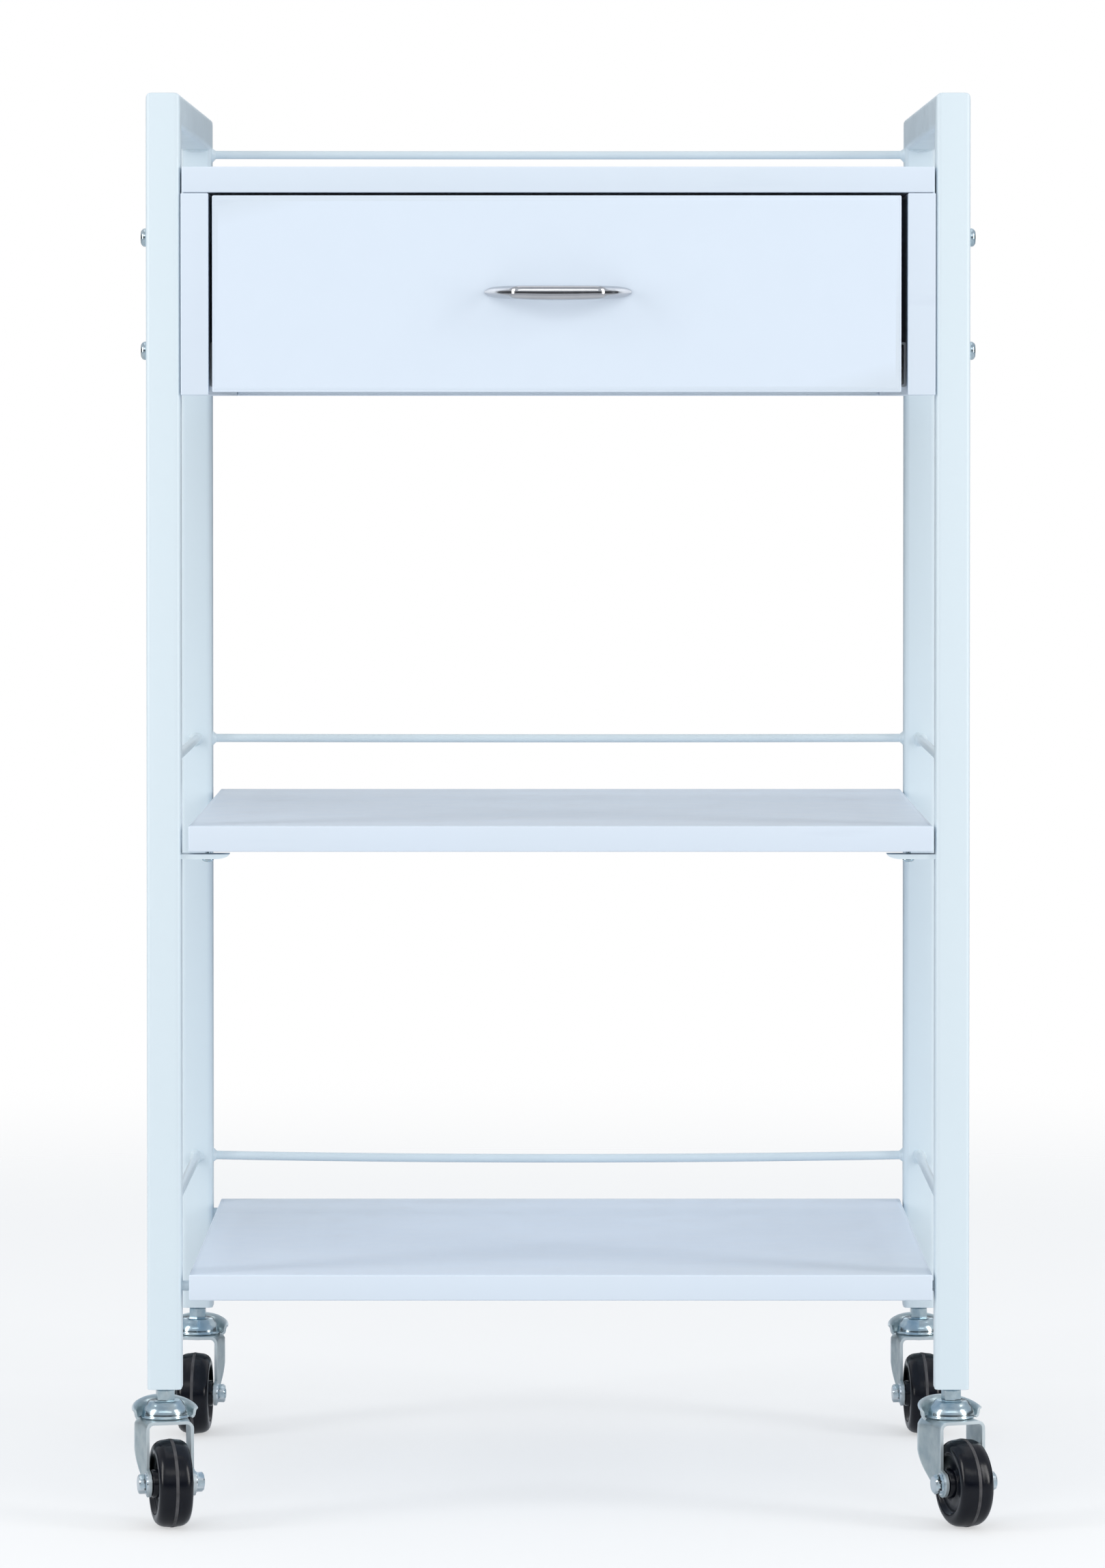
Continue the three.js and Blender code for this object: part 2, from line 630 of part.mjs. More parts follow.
// ---------------------------------------------------------------- casters
// Stem, bearing cup and rivet in one turned piece about the swivel axis. The fork's crown turns between
// the cup and the rivet.
function stemBearing() {
  return turned([
    [0, CROWN_BOTTOM - RIVET_HEIGHT],
    [RIVET_RADIUS - RIVET_CHAMFER, CROWN_BOTTOM - RIVET_HEIGHT],
    [RIVET_RADIUS, CROWN_BOTTOM - RIVET_HEIGHT + RIVET_CHAMFER],
    [RIVET_RADIUS, CROWN_BOTTOM - GAP],
    [STEM_RADIUS, CROWN_BOTTOM - GAP],
    [STEM_RADIUS, CROWN_TOP + GAP],
    [CUP_RADIUS - CUP_LIP, CROWN_TOP + GAP],
    [CUP_RADIUS, CROWN_TOP + GAP + CUP_LIP],
    ...CUP_WALL,
    [STEM_RADIUS, CUP_TOP],
    [STEM_RADIUS, STEM_TOP],
    [0, STEM_TOP],
  ], 16);
}

// The leg of a fork as an outline of [y, z], with its boss round the axle.
function legShape() {
  const shape = new THREE.Shape();
  const start = Math.acos((FORK_FRONT + TRAIL) / AXLE_BOSS);
  shape.moveTo(FORK_BACK, CROWN_TOP);
  shape.lineTo(FORK_FRONT, CROWN_TOP);
  shape.absarc(-TRAIL, AXLE_Z, AXLE_BOSS, start, BOSS_END, false);
  shape.quadraticCurveTo(...LEG_CURVE, FORK_BACK, LEG_WAIST_Z);
  const bore = new THREE.Path();
  bore.absarc(-TRAIL, AXLE_Z, AXLE_RADIUS + GAP, 0, 2 * Math.PI, true);
  shape.holes.push(bore);
  return shape;
}

// Half bowl that rises round the back of the bearing cup.
function hood() {
  const low = CROWN_BOTTOM;
  const high = HOOD_RIM_Z + HOOD_RISE * HOOD_RADIUS + 2 * EDGE_CUT;
  const foot = HOOD_RADIUS - HOOD_FLARE;
  const wall = turned([
    [foot - FORK_SHEET, low],
    [foot, low],
    [HOOD_RADIUS, high],
    [HOOD_RADIUS - FORK_SHEET, high],
    [foot - FORK_SHEET, low],
  ], 20);
  const size = 4 * HOOD_RADIUS;
  const front = block([-size, -size, low - EDGE_CUT], [size, 0, high + size]);
  const above = block([-size, -size, 0], [size, size, size]).rotateX(Math.atan(HOOD_RISE));
  return combine(wall, [], [front, above.translate(0, 0, HOOD_RIM_Z)]);
}

function fork() {
  const half = FORK_INNER / 2 + FORK_SHEET;
  const crown = new THREE.Shape();
  crown.moveTo(half, FORK_FRONT);
  crown.lineTo(half, 0);
  crown.lineTo(CROWN_RADIUS, 0);
  crown.absarc(0, 0, CROWN_RADIUS, 0, Math.PI, false);
  crown.lineTo(-half, 0);
  crown.lineTo(-half, FORK_FRONT);
  crown.quadraticCurveTo(0, FORK_FRONT - 2 * CROWN_BULGE, half, FORK_FRONT);
  const sheet = { depth: FORK_SHEET, bevelEnabled: false, curveSegments: 6 };
  const plate = new THREE.ExtrudeGeometry(crown, { ...sheet, curveSegments: 8 });
  const reach = 4 * HOOD_RADIUS;
  const before = block([-reach, -reach, 0], [reach, 0, reach]);
  const behind = block([-reach, 0, 0], [reach, reach, reach]);
  const pieces = [hood()];
  for (const side of [-1, 1]) {
    const leg = new THREE.ExtrudeGeometry(legShape(), sheet);
    // outline (y, z) extruded along X
    leg.applyMatrix4(new THREE.Matrix4().set(0, 0, 1, 0, 1, 0, 0, 0, 0, 1, 0, 0, 0, 0, 0, 1));
    leg.translate(side > 0 ? FORK_INNER / 2 : -half, 0, 0);
    const flare = new THREE.Matrix4().makeShear(0, 0, side * LEG_FLARE, 0, 0, 0);
    pieces.push(combine(leg, [], [behind]), combine(leg, [], [before]).applyMatrix4(flare));
  }
  const kingpin = rod("z", STEM_RADIUS + GAP, TUBE, 12, [0, 0, CROWN_BOTTOM]);
  return combine(plate.translate(0, 0, CROWN_BOTTOM), pieces, [kingpin]);
}

// Axle bolt with its hexagon head on one side and its nut on the other.
function axleBolt() {
  const half = FORK_INNER / 2 + FORK_SHEET + GAP;
  const hexRadius = AXLE_HEX / Math.sqrt(3);
  const shank = rod("x", AXLE_RADIUS, 2 * (half + AXLE_HEAD), AXLE_SEGMENTS, [AXLE_END, -TRAIL, AXLE_Z]);
  const ends = [-1, 1].map((side) => {
    return rod("x", hexRadius, AXLE_HEAD, 6, [side * (half + AXLE_HEAD / 2), -TRAIL, AXLE_Z]);
  });
  return combine(shank, ends);
}

// Solid wheel with a crowned tread and a hub that stands proud on both sides.
function wheel() {
  const half = WHEEL_WIDTH / 2;
  const side = [
    [WHEEL_BORE, HUB_WIDTH / 2],
    [HUB_RADIUS, HUB_WIDTH / 2],
    [HUB_RADIUS, half - WHEEL_RECESS],
    ...WHEEL_SHOULDER.map(([below, inwards]) => [WHEEL_RADIUS - below, half - inwards]),
  ];
  const mirrored = side.map(([radius, x]) => [radius, -x]);
  const profile = [...mirrored, [WHEEL_RADIUS, 0], ...side.reverse(), mirrored[0]];
  const spin = Math.PI / WHEEL_SEGMENTS; // puts a flat at the bottom
  return turned(profile, WHEEL_SEGMENTS).rotateZ(spin).rotateY(Math.PI / 2).translate(0, -TRAIL, AXLE_Z);
}

for (const { name, side, end, turn } of CASTERS) {
  const caster = new THREE.Group();
  caster.position.set(side * POST_X, POST_Y[end], 0);
  caster.rotation.z = THREE.MathUtils.degToRad(turn);
  stand.add(caster);
  addPart(`stem_bearing_${name}`, stemBearing(), zinc, caster);
  addPart(`fork_${name}`, fork(), zinc, caster);
  addPart(`axle_bolt_${name}`, axleBolt(), zinc, caster);
  addPart(`wheel_${name}`, wheel(), blackWheel, caster);
}

export default stand;
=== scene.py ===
import json
import math

import bmesh
import bpy
from mathutils import Matrix, Vector


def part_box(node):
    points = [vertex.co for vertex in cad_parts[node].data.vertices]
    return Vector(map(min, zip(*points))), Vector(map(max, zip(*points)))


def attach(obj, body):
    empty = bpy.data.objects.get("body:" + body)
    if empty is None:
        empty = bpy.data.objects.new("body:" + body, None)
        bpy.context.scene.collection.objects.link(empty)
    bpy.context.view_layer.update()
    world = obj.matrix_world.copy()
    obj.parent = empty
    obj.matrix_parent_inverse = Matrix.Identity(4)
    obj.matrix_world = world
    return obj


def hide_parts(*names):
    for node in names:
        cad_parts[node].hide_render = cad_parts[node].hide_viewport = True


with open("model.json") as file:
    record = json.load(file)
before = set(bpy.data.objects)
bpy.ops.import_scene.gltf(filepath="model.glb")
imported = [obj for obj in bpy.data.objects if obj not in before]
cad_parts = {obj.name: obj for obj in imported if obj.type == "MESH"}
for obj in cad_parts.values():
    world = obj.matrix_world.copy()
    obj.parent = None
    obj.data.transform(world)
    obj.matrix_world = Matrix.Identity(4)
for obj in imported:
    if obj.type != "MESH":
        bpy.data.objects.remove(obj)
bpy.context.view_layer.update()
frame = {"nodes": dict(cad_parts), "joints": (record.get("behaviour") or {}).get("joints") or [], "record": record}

MM = 0.001
JOINTS = {joint["name"]: joint for joint in frame["joints"]}
SIDES = {"left": -1, "right": 1}
ENDS = ("front", "rear")
CASTERS = [f"{end}_{side}" for end in ENDS for side in SIDES]
scene = bpy.context.scene


def node_box(node):
    """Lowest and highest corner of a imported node, in millimetres."""
    low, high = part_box(node)
    return low / MM, high / MM


def tinted(colour, factor):
    return tuple(channel * factor for channel in colour)


# ---- measures of the frame
TUBE = 20
CAD_FRONT = node_box("post_front_left")[0].y
CAD_BACK = node_box("post_rear_left")[1].y
POST_FOOT = node_box("post_front_left")[0].z
POST_Y = {"front": CAD_FRONT + TUBE / 2, "rear": CAD_BACK - TUBE / 2}
OUTER_X = node_box("handle_bar_right")[1].x
INNER_X = OUTER_X - TUBE
POST_X = OUTER_X - TUBE / 2
BAR_Z = node_box("handle_bar_left")[1].z - TUBE / 2


# ---- camera, floor and light
CAMERA_DISTANCE = 3.63  # from the front faces of the front posts
CAMERA_HEIGHT = 0.6555
CAMERA_PITCH = 1.15  # degrees below the horizon
CAMERA_LENS = 143.2
CAMERA_SHIFT = (-0.0036, -0.1642)
FLOOR_RADIUS = 2.4
FLOOR_SHARE = 0.5  # how much of the floor's own shading shows under the object
FLOOR_FADE = (0.45, 0.95)  # the floor fades into the white surroundings between these shares of its radius
FLOOR_COLOUR = (0.93, 0.95, 0.97, 1)
AMBIENT = (0.55, 0.57, 0.60, 1)
# (position, grey) of the room in reflections, from straight down to straight up
ROOM = [(0, 0.34), (0.3, 0.5), (0.41, 0.62), (0.45, 0.07), (0.57, 0.09), (0.62, 0.6), (0.8, 0.66), (1, 0.5)]
ROOM_TINT = (0.93, 0.97, 1.04)
WARM = (1, 0.985, 0.955)
MILD = (1, 0.985, 0.96)
WHITE = (1, 1, 1)


def make_camera():
    data = bpy.data.cameras.new("camera")
    data.sensor_fit = "AUTO"
    data.sensor_width = 36
    data.lens = CAMERA_LENS
    data.shift_x, data.shift_y = CAMERA_SHIFT
    camera = bpy.data.objects.new("camera", data)
    camera.location = (0, CAD_FRONT * MM - CAMERA_DISTANCE, CAMERA_HEIGHT)
    camera.rotation_euler = (math.radians(90 - CAMERA_PITCH), 0, 0)
    scene.collection.objects.link(camera)
    scene.camera = camera


def make_floor():
    """A white disc that fades out all round, so that it has no visible edge."""
    bm = bmesh.new()
    bmesh.ops.create_circle(bm, cap_ends=True, radius=FLOOR_RADIUS, segments=96)
    mesh = bpy.data.meshes.new("floor")
    bm.to_mesh(mesh)
    bm.free()
    material = bpy.data.materials.new("floor")
    material.use_nodes = True
    nodes, links = material.node_tree.nodes, material.node_tree.links
    nodes.clear()
    place = nodes.new("ShaderNodeTexCoord")
    distance = nodes.new("ShaderNodeVectorMath")
    distance.operation = "LENGTH"
    fade = nodes.new("ShaderNodeMapRange")
    fade.interpolation_type = "SMOOTHSTEP"
    fade.inputs["From Min"].default_value = FLOOR_FADE[0] * FLOOR_RADIUS
    fade.inputs["From Max"].default_value = FLOOR_FADE[1] * FLOOR_RADIUS
    fade.inputs["To Min"].default_value = FLOOR_SHARE
    fade.inputs["To Max"].default_value = 0
    clear = nodes.new("ShaderNodeBsdfTransparent")
    white = nodes.new("ShaderNodeBsdfDiffuse")
    white.inputs["Color"].default_value = FLOOR_COLOUR
    blend = nodes.new("ShaderNodeMixShader")
    output = nodes.new("ShaderNodeOutputMaterial")
    links.new(place.outputs["Object"], distance.inputs[0])
    links.new(distance.outputs["Value"], fade.inputs["Value"])
    links.new(fade.outputs["Result"], blend.inputs["Fac"])
    links.new(clear.outputs["BSDF"], blend.inputs[1])
    links.new(white.outputs["BSDF"], blend.inputs[2])
    links.new(blend.outputs["Shader"], output.inputs["Surface"])
    mesh.materials.append(material)
    floor = bpy.data.objects.new("floor", mesh)
    scene.collection.objects.link(floor)


def make_world():
    """White to the camera, even grey light to the object, and a room with a dark horizon in reflections."""
    world = bpy.data.worlds.new("studio")
    world.use_nodes = True
    scene.world = world
    nodes, links = world.node_tree.nodes, world.node_tree.links
    place = nodes.new("ShaderNodeTexCoord")
    split = nodes.new("ShaderNodeSeparateXYZ")
    height = nodes.new("ShaderNodeMapRange")
    height.inputs["From Min"].default_value = -1
    ramp = nodes.new("ShaderNodeValToRGB")
    elements = ramp.color_ramp.elements
    while len(elements) < len(ROOM):
        elements.new(0.5)
    for element, (position, grey) in zip(elements, ROOM):
        element.position = position
        element.color = (*tinted(ROOM_TINT, grey), 1)
    seen = nodes.new("ShaderNodeLightPath")
    room, shown = nodes.new("ShaderNodeMix"), nodes.new("ShaderNodeMix")
    for mix in (room, shown):
        mix.data_type = "RGBA"
    room.inputs[6].default_value = AMBIENT
    shown.inputs[7].default_value = (1, 1, 1, 1)
    links.new(place.outputs["Generated"], split.inputs["Vector"])
    links.new(split.outputs["Z"], height.inputs["Value"])
    links.new(height.outputs["Result"], ramp.inputs["Fac"])
    links.new(seen.outputs["Is Glossy Ray"], room.inputs[0])
    links.new(ramp.outputs["Color"], room.inputs[7])
    links.new(seen.outputs["Is Camera Ray"], shown.inputs[0])
    links.new(room.outputs[2], shown.inputs[6])
    links.new(shown.outputs[2], nodes["Background"].inputs["Color"])


def soft_light(name, place, target, size, power, colour, mirrored=True):
    """A soft box aimed at a target, in metres and watts. One that isn't mirrored shows in no gloss."""
    data = bpy.data.lights.new(name, "AREA")
    data.shape = "RECTANGLE"
    data.size, data.size_y = size
    data.energy = power
    data.color = colour
    light = bpy.data.objects.new(name, data)
    light.location = place
    light.rotation_euler = (Vector(target) - Vector(place)).to_track_quat("-Z", "Y").to_euler()
    light.visible_camera = False
    light.visible_glossy = mirrored
    scene.collection.objects.link(light)


def make_lights():
    middle, front, side = (0, 0, 0.45), (1.0, 1.3), (0.8, 2.2)
    soft_light("key", (-1.3, -3.3, 1.1), middle, front, 8.5, WARM, False)
    soft_light("fill", (1.5, -3.3, 1.1), middle, front, 8, WARM, False)
    soft_light("band", (0, -3.0, 2.2), (0, 0, 0.6), (4.2, 0.8), 14, WARM)
    soft_light("left", (-2.8, -1.2, 1.3), (0, 0, 0.6), side, 36, MILD)
    soft_light("right", (2.8, -1.2, 1.3), (0, 0, 0.6), side, 38, MILD)
    soft_light("top", (0, 0.3, 3.2), (0, 0, 0), (2.2, 2.2), 9, WHITE)
    soft_light("rim", (0, 3.4, 1.9), middle, (3.4, 1.0), 8, WHITE)


# ---- drawing
LONGEST_CUT = 0.45  # most of an edge that the rounding at one of its ends takes


def quarter_turn(steps):
    return [math.pi / 2 * k / steps for k in range(steps + 1)]


def rounded(points, radius, steps=3, closed=True):
    """An outline of flat points with its corners rounded off."""
    corners = [Vector(point) for point in points]
    result = []
    for i, corner in enumerate(corners):
        if not closed and i in (0, len(corners) - 1):
            result.append(corner)
            continue
        back = corners[i - 1] - corner
        ahead = corners[(i + 1) % len(corners)] - corner
        cut = min(radius, LONGEST_CUT * back.length, LONGEST_CUT * ahead.length)
        start = corner + back.normalized() * cut
        end = corner + ahead.normalized() * cut
        for k in range(steps + 1):
            t = k / steps
            result.append(start.lerp(corner, t).lerp(corner.lerp(end, t), t))
    return result


def rectangle(width, height, radius, steps=3):
    """A rectangle about the origin, anticlockwise, with its corners rounded off."""
    x, y = width / 2, height / 2
    return rounded([(x, -y), (x, y), (-x, y), (-x, -y)], radius, steps)


def circle(radius, count):
    angles = [2 * math.pi * i / count for i in range(count)]
    return [Vector((radius * math.cos(angle), radius * math.sin(angle))) for angle in angles]


def along(direction, centre):
    """A placement whose Z runs in a direction from a centre."""
    turn = Vector(direction).to_track_quat("Z", "Y").to_matrix().to_4x4()
    return Matrix.Translation(centre) @ turn


def basis(x_axis, y_axis, centre):
    """A placement from the directions of its X and Y."""
    x, y = Vector(x_axis), Vector(y_axis)
    return Matrix.Translation(centre) @ Matrix((x, y, x.cross(y))).transposed().to_4x4()


def loft(bm, rings, capped=True, closed=False):
    """Joins rings of the same number of points with faces."""
    loops = [[bm.verts.new(point) for point in ring] for ring in rings]
    pairs = list(zip(loops, loops[1:]))
    if closed:
        pairs.append((loops[-1], loops[0]))
    count = len(loops[0])
    for lower, upper in pairs:
        for i in range(count):
            j = (i + 1) % count
            bm.faces.new((lower[i], lower[j], upper[j], upper[i]))
    if capped and not closed:
        bm.faces.new(loops[0][::-1])
        bm.faces.new(loops[-1])
    return loops


def extrude(bm, outline, depth, place):
    """A prism of an outline, half its depth to each side of the placement's own plane."""
    ends = (-depth / 2, depth / 2)
    loft(bm, [[place @ Vector((u, v, w)) for u, v in outline] for w in ends])


def hexagon(angle):
    """How far out a hexagon is at an angle, for a radius of 1 to its flats."""
    return 1 / math.cos((angle + math.pi / 6) % (math.pi / 3) - math.pi / 6)


def cross(angle):
    """How far out a cross recess is at an angle, for a radius of 1 to the ends of its arms."""
    return 0.4 + 0.6 * math.cos(2 * angle) ** 4


def lathe(bm, profile, segments, place=Matrix(), closed=False):
    """A solid turned about the placement's Z from (radius, height) points, or (radius, height, shape)."""
    rings = []
    for radius, height, *shape in profile:
        ring = []
        for i in range(segments if radius > 0 else 1):
            angle = 2 * math.pi * i / segments
            reach = radius * (shape[0](angle) if shape else 1)
            point = Vector((reach * math.cos(angle), reach * math.sin(angle), height))
            ring.append(bm.verts.new(place @ point))
        rings.append(ring)
    pairs = list(zip(rings, rings[1:]))
    if closed:
        pairs.append((rings[-1], rings[0]))
    for lower, upper in pairs:
        for i in range(segments):
            j = (i + 1) % segments
            below = [lower[k % len(lower)] for k in (i, j)]
            above = [upper[k % len(upper)] for k in (j, i)]
            bm.faces.new(list(dict.fromkeys(below + above)))


def sweep_rings(section, path, side):
    """Rings of a flat section along a flat path, mitred at its corners. Side is the section's own X."""
    side = Vector(side)
    rings = []
    for i, point in enumerate(path):
        incoming = (path[i] - path[i - 1]).normalized() if i else None
        outgoing = (path[i + 1] - path[i]).normalized() if i + 1 < len(path) else incoming
        tangent = ((incoming or outgoing) + outgoing).normalized()
        out = side.cross(tangent) / tangent.dot(outgoing)
        rings.append([point + side * u + out * v for u, v in section])
    return rings


def plate(bm, outer, inner):
    """A closed sheet between two grids of points of the same size."""
    top, under = ([[bm.verts.new(point) for point in row] for row in grid] for grid in (outer, inner))
    rows, columns = len(top), len(top[0])
    for i in range(rows - 1):
        for j in range(columns - 1):
            bm.faces.new((top[i][j], top[i][j + 1], top[i + 1][j + 1], top[i + 1][j]))
            bm.faces.new((under[i][j], under[i + 1][j], under[i + 1][j + 1], under[i][j + 1]))
    rim = [(0, j) for j in range(columns - 1)] + [(i, columns - 1) for i in range(rows - 1)]
    rim += [(rows - 1, j) for j in range(columns - 1, 0, -1)] + [(i, 0) for i in range(rows - 1, 0, -1)]
    for (a, b), (c, d) in zip(rim, rim[1:] + rim[:1]):
        bm.faces.new((top[c][d], top[a][b], under[a][b], under[c][d]))


def soften(bm, width, angle=40, segments=2):
    """Rounds every edge whose faces meet more sharply than an angle."""
    sharp = [e for e in bm.edges if len(e.link_faces) == 2 and e.calc_face_angle() > math.radians(angle)]
    bmesh.ops.bevel(
        bm, geom=sharp, offset=width, segments=segments, profile=0.5, affect="EDGES", clamp_overlap=True
    )


def finish_piece(name, bm, slot, body, replaced=(), place=Matrix(), sharp=38):
    """Turns a drawing in millimetres into a piece that rides on a body."""
    bmesh.ops.recalc_face_normals(bm, faces=bm.faces)
    mesh = bpy.data.meshes.new(name)
    bm.to_mesh(mesh)
    bm.free()
    mesh.transform(Matrix.Scale(MM, 4) @ place)
    mesh.materials.append(MATERIALS[slot])
    mesh.shade_smooth()
    mesh.set_sharp_from_angle(angle=math.radians(sharp))
    piece = bpy.data.objects.new(name, mesh)
    scene.collection.objects.link(piece)
    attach(piece, body)
    if replaced:
        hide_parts(*replaced)


# ---- materials
class Surface:
    """A material being made: its shader and the textures that feed it. Sizes are in millimetres."""

    def __init__(self, name, **settings):
        self.material = bpy.data.materials.new(name)
        self.material.use_nodes = True
        self.nodes = self.material.node_tree.nodes
        self.links = self.material.node_tree.links
        self.shader = self.nodes["Principled BSDF"]
        self.place = self.nodes.new("ShaderNodeTexCoord").outputs["Object"]
        self.normal = None
        for socket, value in settings.items():
            self.shader.inputs[socket.replace("_", " ")].default_value = value

    def mapped(self, stretch):
        mapping = self.nodes.new("ShaderNodeMapping")
        mapping.inputs["Scale"].default_value = [1 / times for times in stretch]
        self.links.new(self.place, mapping.inputs["Vector"])
        return mapping.outputs["Vector"]

    def noise(self, size, detail=2.0, stretch=(1, 1, 1)):
        """Cloudy noise with features of a size, stretched along the axes."""
        node = self.nodes.new("ShaderNodeTexNoise")
        node.inputs["Scale"].default_value = 1 / (size * MM)
        node.inputs["Detail"].default_value = detail
        self.links.new(self.mapped(stretch), node.inputs["Vector"])
        return node.outputs["Fac"]

    def cells(self, size):
        """Patches of one value each, as in the crystals of a plated surface."""
        node = self.nodes.new("ShaderNodeTexVoronoi")
        node.inputs["Scale"].default_value = 1 / (size * MM)
        self.links.new(self.place, node.inputs["Vector"])
        return node.outputs["Color"]

    def spread(self, value, low, high, from_low=0.3, from_high=0.7):
        """A texture's value, spread from one range to another."""
        node = self.nodes.new("ShaderNodeMapRange")
        limits = {"From Min": from_low, "From Max": from_high, "To Min": low, "To Max": high}
        for socket, number in limits.items():
            node.inputs[socket].default_value = number
        self.links.new(value, node.inputs["Value"])
        return node.outputs["Result"]

    def clouds(self, size, detail, low=0, high=1, from_low=0.3, from_high=0.7):
        """Cloudy noise, spread over a range."""
        return self.spread(self.noise(size, detail), low, high, from_low, from_high)

    def edges(self, reach=0.07):
        """1 on the outer edges, 0 elsewhere."""
        pointiness = self.nodes.new("ShaderNodeNewGeometry").outputs["Pointiness"]
        return self.spread(pointiness, 0, 1, 0.5 + 0.3 * reach, 0.5 + reach)

    def mix(self, factor, first, second):
        """A colour between two, each a colour or another node's output."""
        node = self.nodes.new("ShaderNodeMix")
        node.data_type = "RGBA"
        self.links.new(factor, node.inputs[0])
        for socket, colour in ((node.inputs[6], first), (node.inputs[7], second)):
            if isinstance(colour, tuple):
                socket.default_value = (*colour, 1)
            else:
                self.links.new(colour, socket)
        return node.outputs[2]

    def bump(self, height, depth):
        node = self.nodes.new("ShaderNodeBump")
        node.inputs["Distance"].default_value = depth * MM
        self.links.new(height, node.inputs["Height"])
        if self.normal:
            self.links.new(self.normal, node.inputs["Normal"])
        self.normal = node.outputs["Normal"]

    def done(self, colour, roughness):
        self.links.new(colour, self.shader.inputs["Base Color"])
        self.links.new(roughness, self.shader.inputs["Roughness"])
        if self.normal:
            self.links.new(self.normal, self.shader.inputs["Normal"])
        return self.material


def powder_coat():
    """Semi-gloss white powder coat: orange peel, faint clouds, and edges lightened as a painted highlight."""
    white = (0.638, 0.73, 0.783)
    surface = Surface("powder_coat", Coat_Weight=0.12, Coat_Roughness=0.25)
    clouds = surface.clouds(60, 3)
    colour = surface.mix(clouds, white, tinted(white, 0.955))
    # painted highlight: the outer edges are lightened, standing in for light caught on the rounded tube edges
    colour = surface.mix(surface.edges(), colour, tinted(white, 1.07))
    surface.bump(surface.noise(1.6, 1), 0.02)
    surface.bump(surface.noise(7, 2), 0.03)
    return surface.done(colour, surface.clouds(9, 3, 0.34, 0.46))


def white_board():
    """Melamine-faced board: a fine pearl grain, faint scuffs, and arrises lightened as a painted highlight."""
    white = (0.67, 0.75, 0.845)
    surface = Surface("white_board")
    clouds = surface.clouds(110, 3)
    colour = surface.mix(clouds, white, (0.665, 0.742, 0.82))
    scuffs = surface.spread(surface.noise(14, 6, (9, 1, 1)), 0, 1, 0.64, 0.74)
    colour = surface.mix(scuffs, colour, tinted(white, 0.94))
    # painted highlight: the arrises are lightened, standing in for light caught on the rounded edging
    colour = surface.mix(surface.edges(), colour, tinted(white, 1.06))
    surface.bump(surface.noise(0.7, 2), 0.012)
    surface.bump(surface.noise(22, 1), 0.03)
    return surface.done(colour, surface.clouds(18, 4, 0.36, 0.5))


def drawer_board():
    """White foil over fibreboard, with a faint grain along the drawer."""
    white = (0.70, 0.71, 0.69)
    surface = Surface("drawer_board")
    grain = surface.noise(1.4, 4, (1, 40, 1))
    colour = surface.mix(surface.spread(grain, 0, 1), white, tinted(white, 0.93))
    # painted highlight: the outer edges are lightened, as if catching light
    colour = surface.mix(surface.edges(), colour, tinted(white, 1.08))
    surface.bump(grain, 0.03)
    return surface.done(colour, surface.clouds(12, 3, 0.48, 0.62))


def zinc():
    """Bright zinc plate: blue and yellow blotches, faint crystals, small dents, and a painted highlight on the
    edges.
    """
    surface = Surface("zinc", Metallic=1.0)
    blotches = surface.clouds(7, 3, 0, 1, 0.35, 0.65)
    colour = surface.mix(blotches, (0.33, 0.49, 0.60), (0.55, 0.68, 0.75))
    colour = surface.mix(surface.clouds(19, 2, 0, 0.4), colour, (0.68, 0.72, 0.68))
    # painted highlight: the outer edges are lightened towards white, as if catching light
    colour = surface.mix(surface.edges(0.1), colour, (0.80, 0.86, 0.90))
    surface.bump(surface.cells(1.6), 0.002)
    surface.bump(surface.noise(5, 1), 0.04)
    return surface.done(colour, surface.clouds(4, 3, 0.13, 0.26))


def zinc_sheet():
    """Zinc plate on the pressed forks, duller and brushed downwards."""
    surface = Surface("zinc_sheet", Metallic=0.75)
    blotches = surface.clouds(8, 3, 0, 1, 0.35, 0.65)
    colour = surface.mix(blotches, (0.40, 0.49, 0.53), (0.52, 0.60, 0.62))
    # painted highlight: the outer edges and bends are lightened towards white, as if catching light
    colour = surface.mix(surface.edges(0.1), colour, (0.74, 0.82, 0.85))
    surface.bump(surface.noise(0.6, 2, (1, 1, 12)), 0.004)
    surface.bump(surface.noise(6, 1), 0.05)
    return surface.done(colour, surface.clouds(5, 4, 0.34, 0.5))


def chrome():
    """Polished chrome with hairline scratches and faint smears."""
    surface = Surface("chrome", Metallic=1.0)
    smears = surface.clouds(9, 3)
    colour = surface.mix(smears, (0.62, 0.625, 0.645), (0.55, 0.56, 0.585))
    surface.bump(surface.noise(0.35, 2, (25, 1, 1)), 0.004)
    return surface.done(colour, surface.clouds(5, 4, 0.05, 0.14))


def rail_steel():
    """White epoxy over rolled steel, worn where the rollers run."""
    white = (0.66, 0.69, 0.70)
    surface = Surface("rail_steel", Coat_Weight=0.2, Coat_Roughness=0.2)
    clouds = surface.spread(surface.noise(25, 3, (1, 6, 1)), 0, 1)
    colour = surface.mix(clouds, white, tinted(white, 0.9))
    colour = surface.mix(surface.edges(), colour, (0.42, 0.43, 0.44))
    surface.bump(surface.noise(2.2, 2), 0.02)
    return surface.done(colour, surface.clouds(8, 3, 0.28, 0.4))


def nylon():
    """Moulded white nylon with a matt tread."""
    white = (0.74, 0.74, 0.71)
    surface = Surface("nylon", Subsurface_Weight=0.08, Subsurface_Scale=0.002)
    colour = surface.mix(surface.clouds(3, 3), white, tinted(white, 0.9))
    surface.bump(surface.noise(0.8, 2), 0.02)
    return surface.done(colour, surface.clouds(4, 3, 0.4, 0.55))


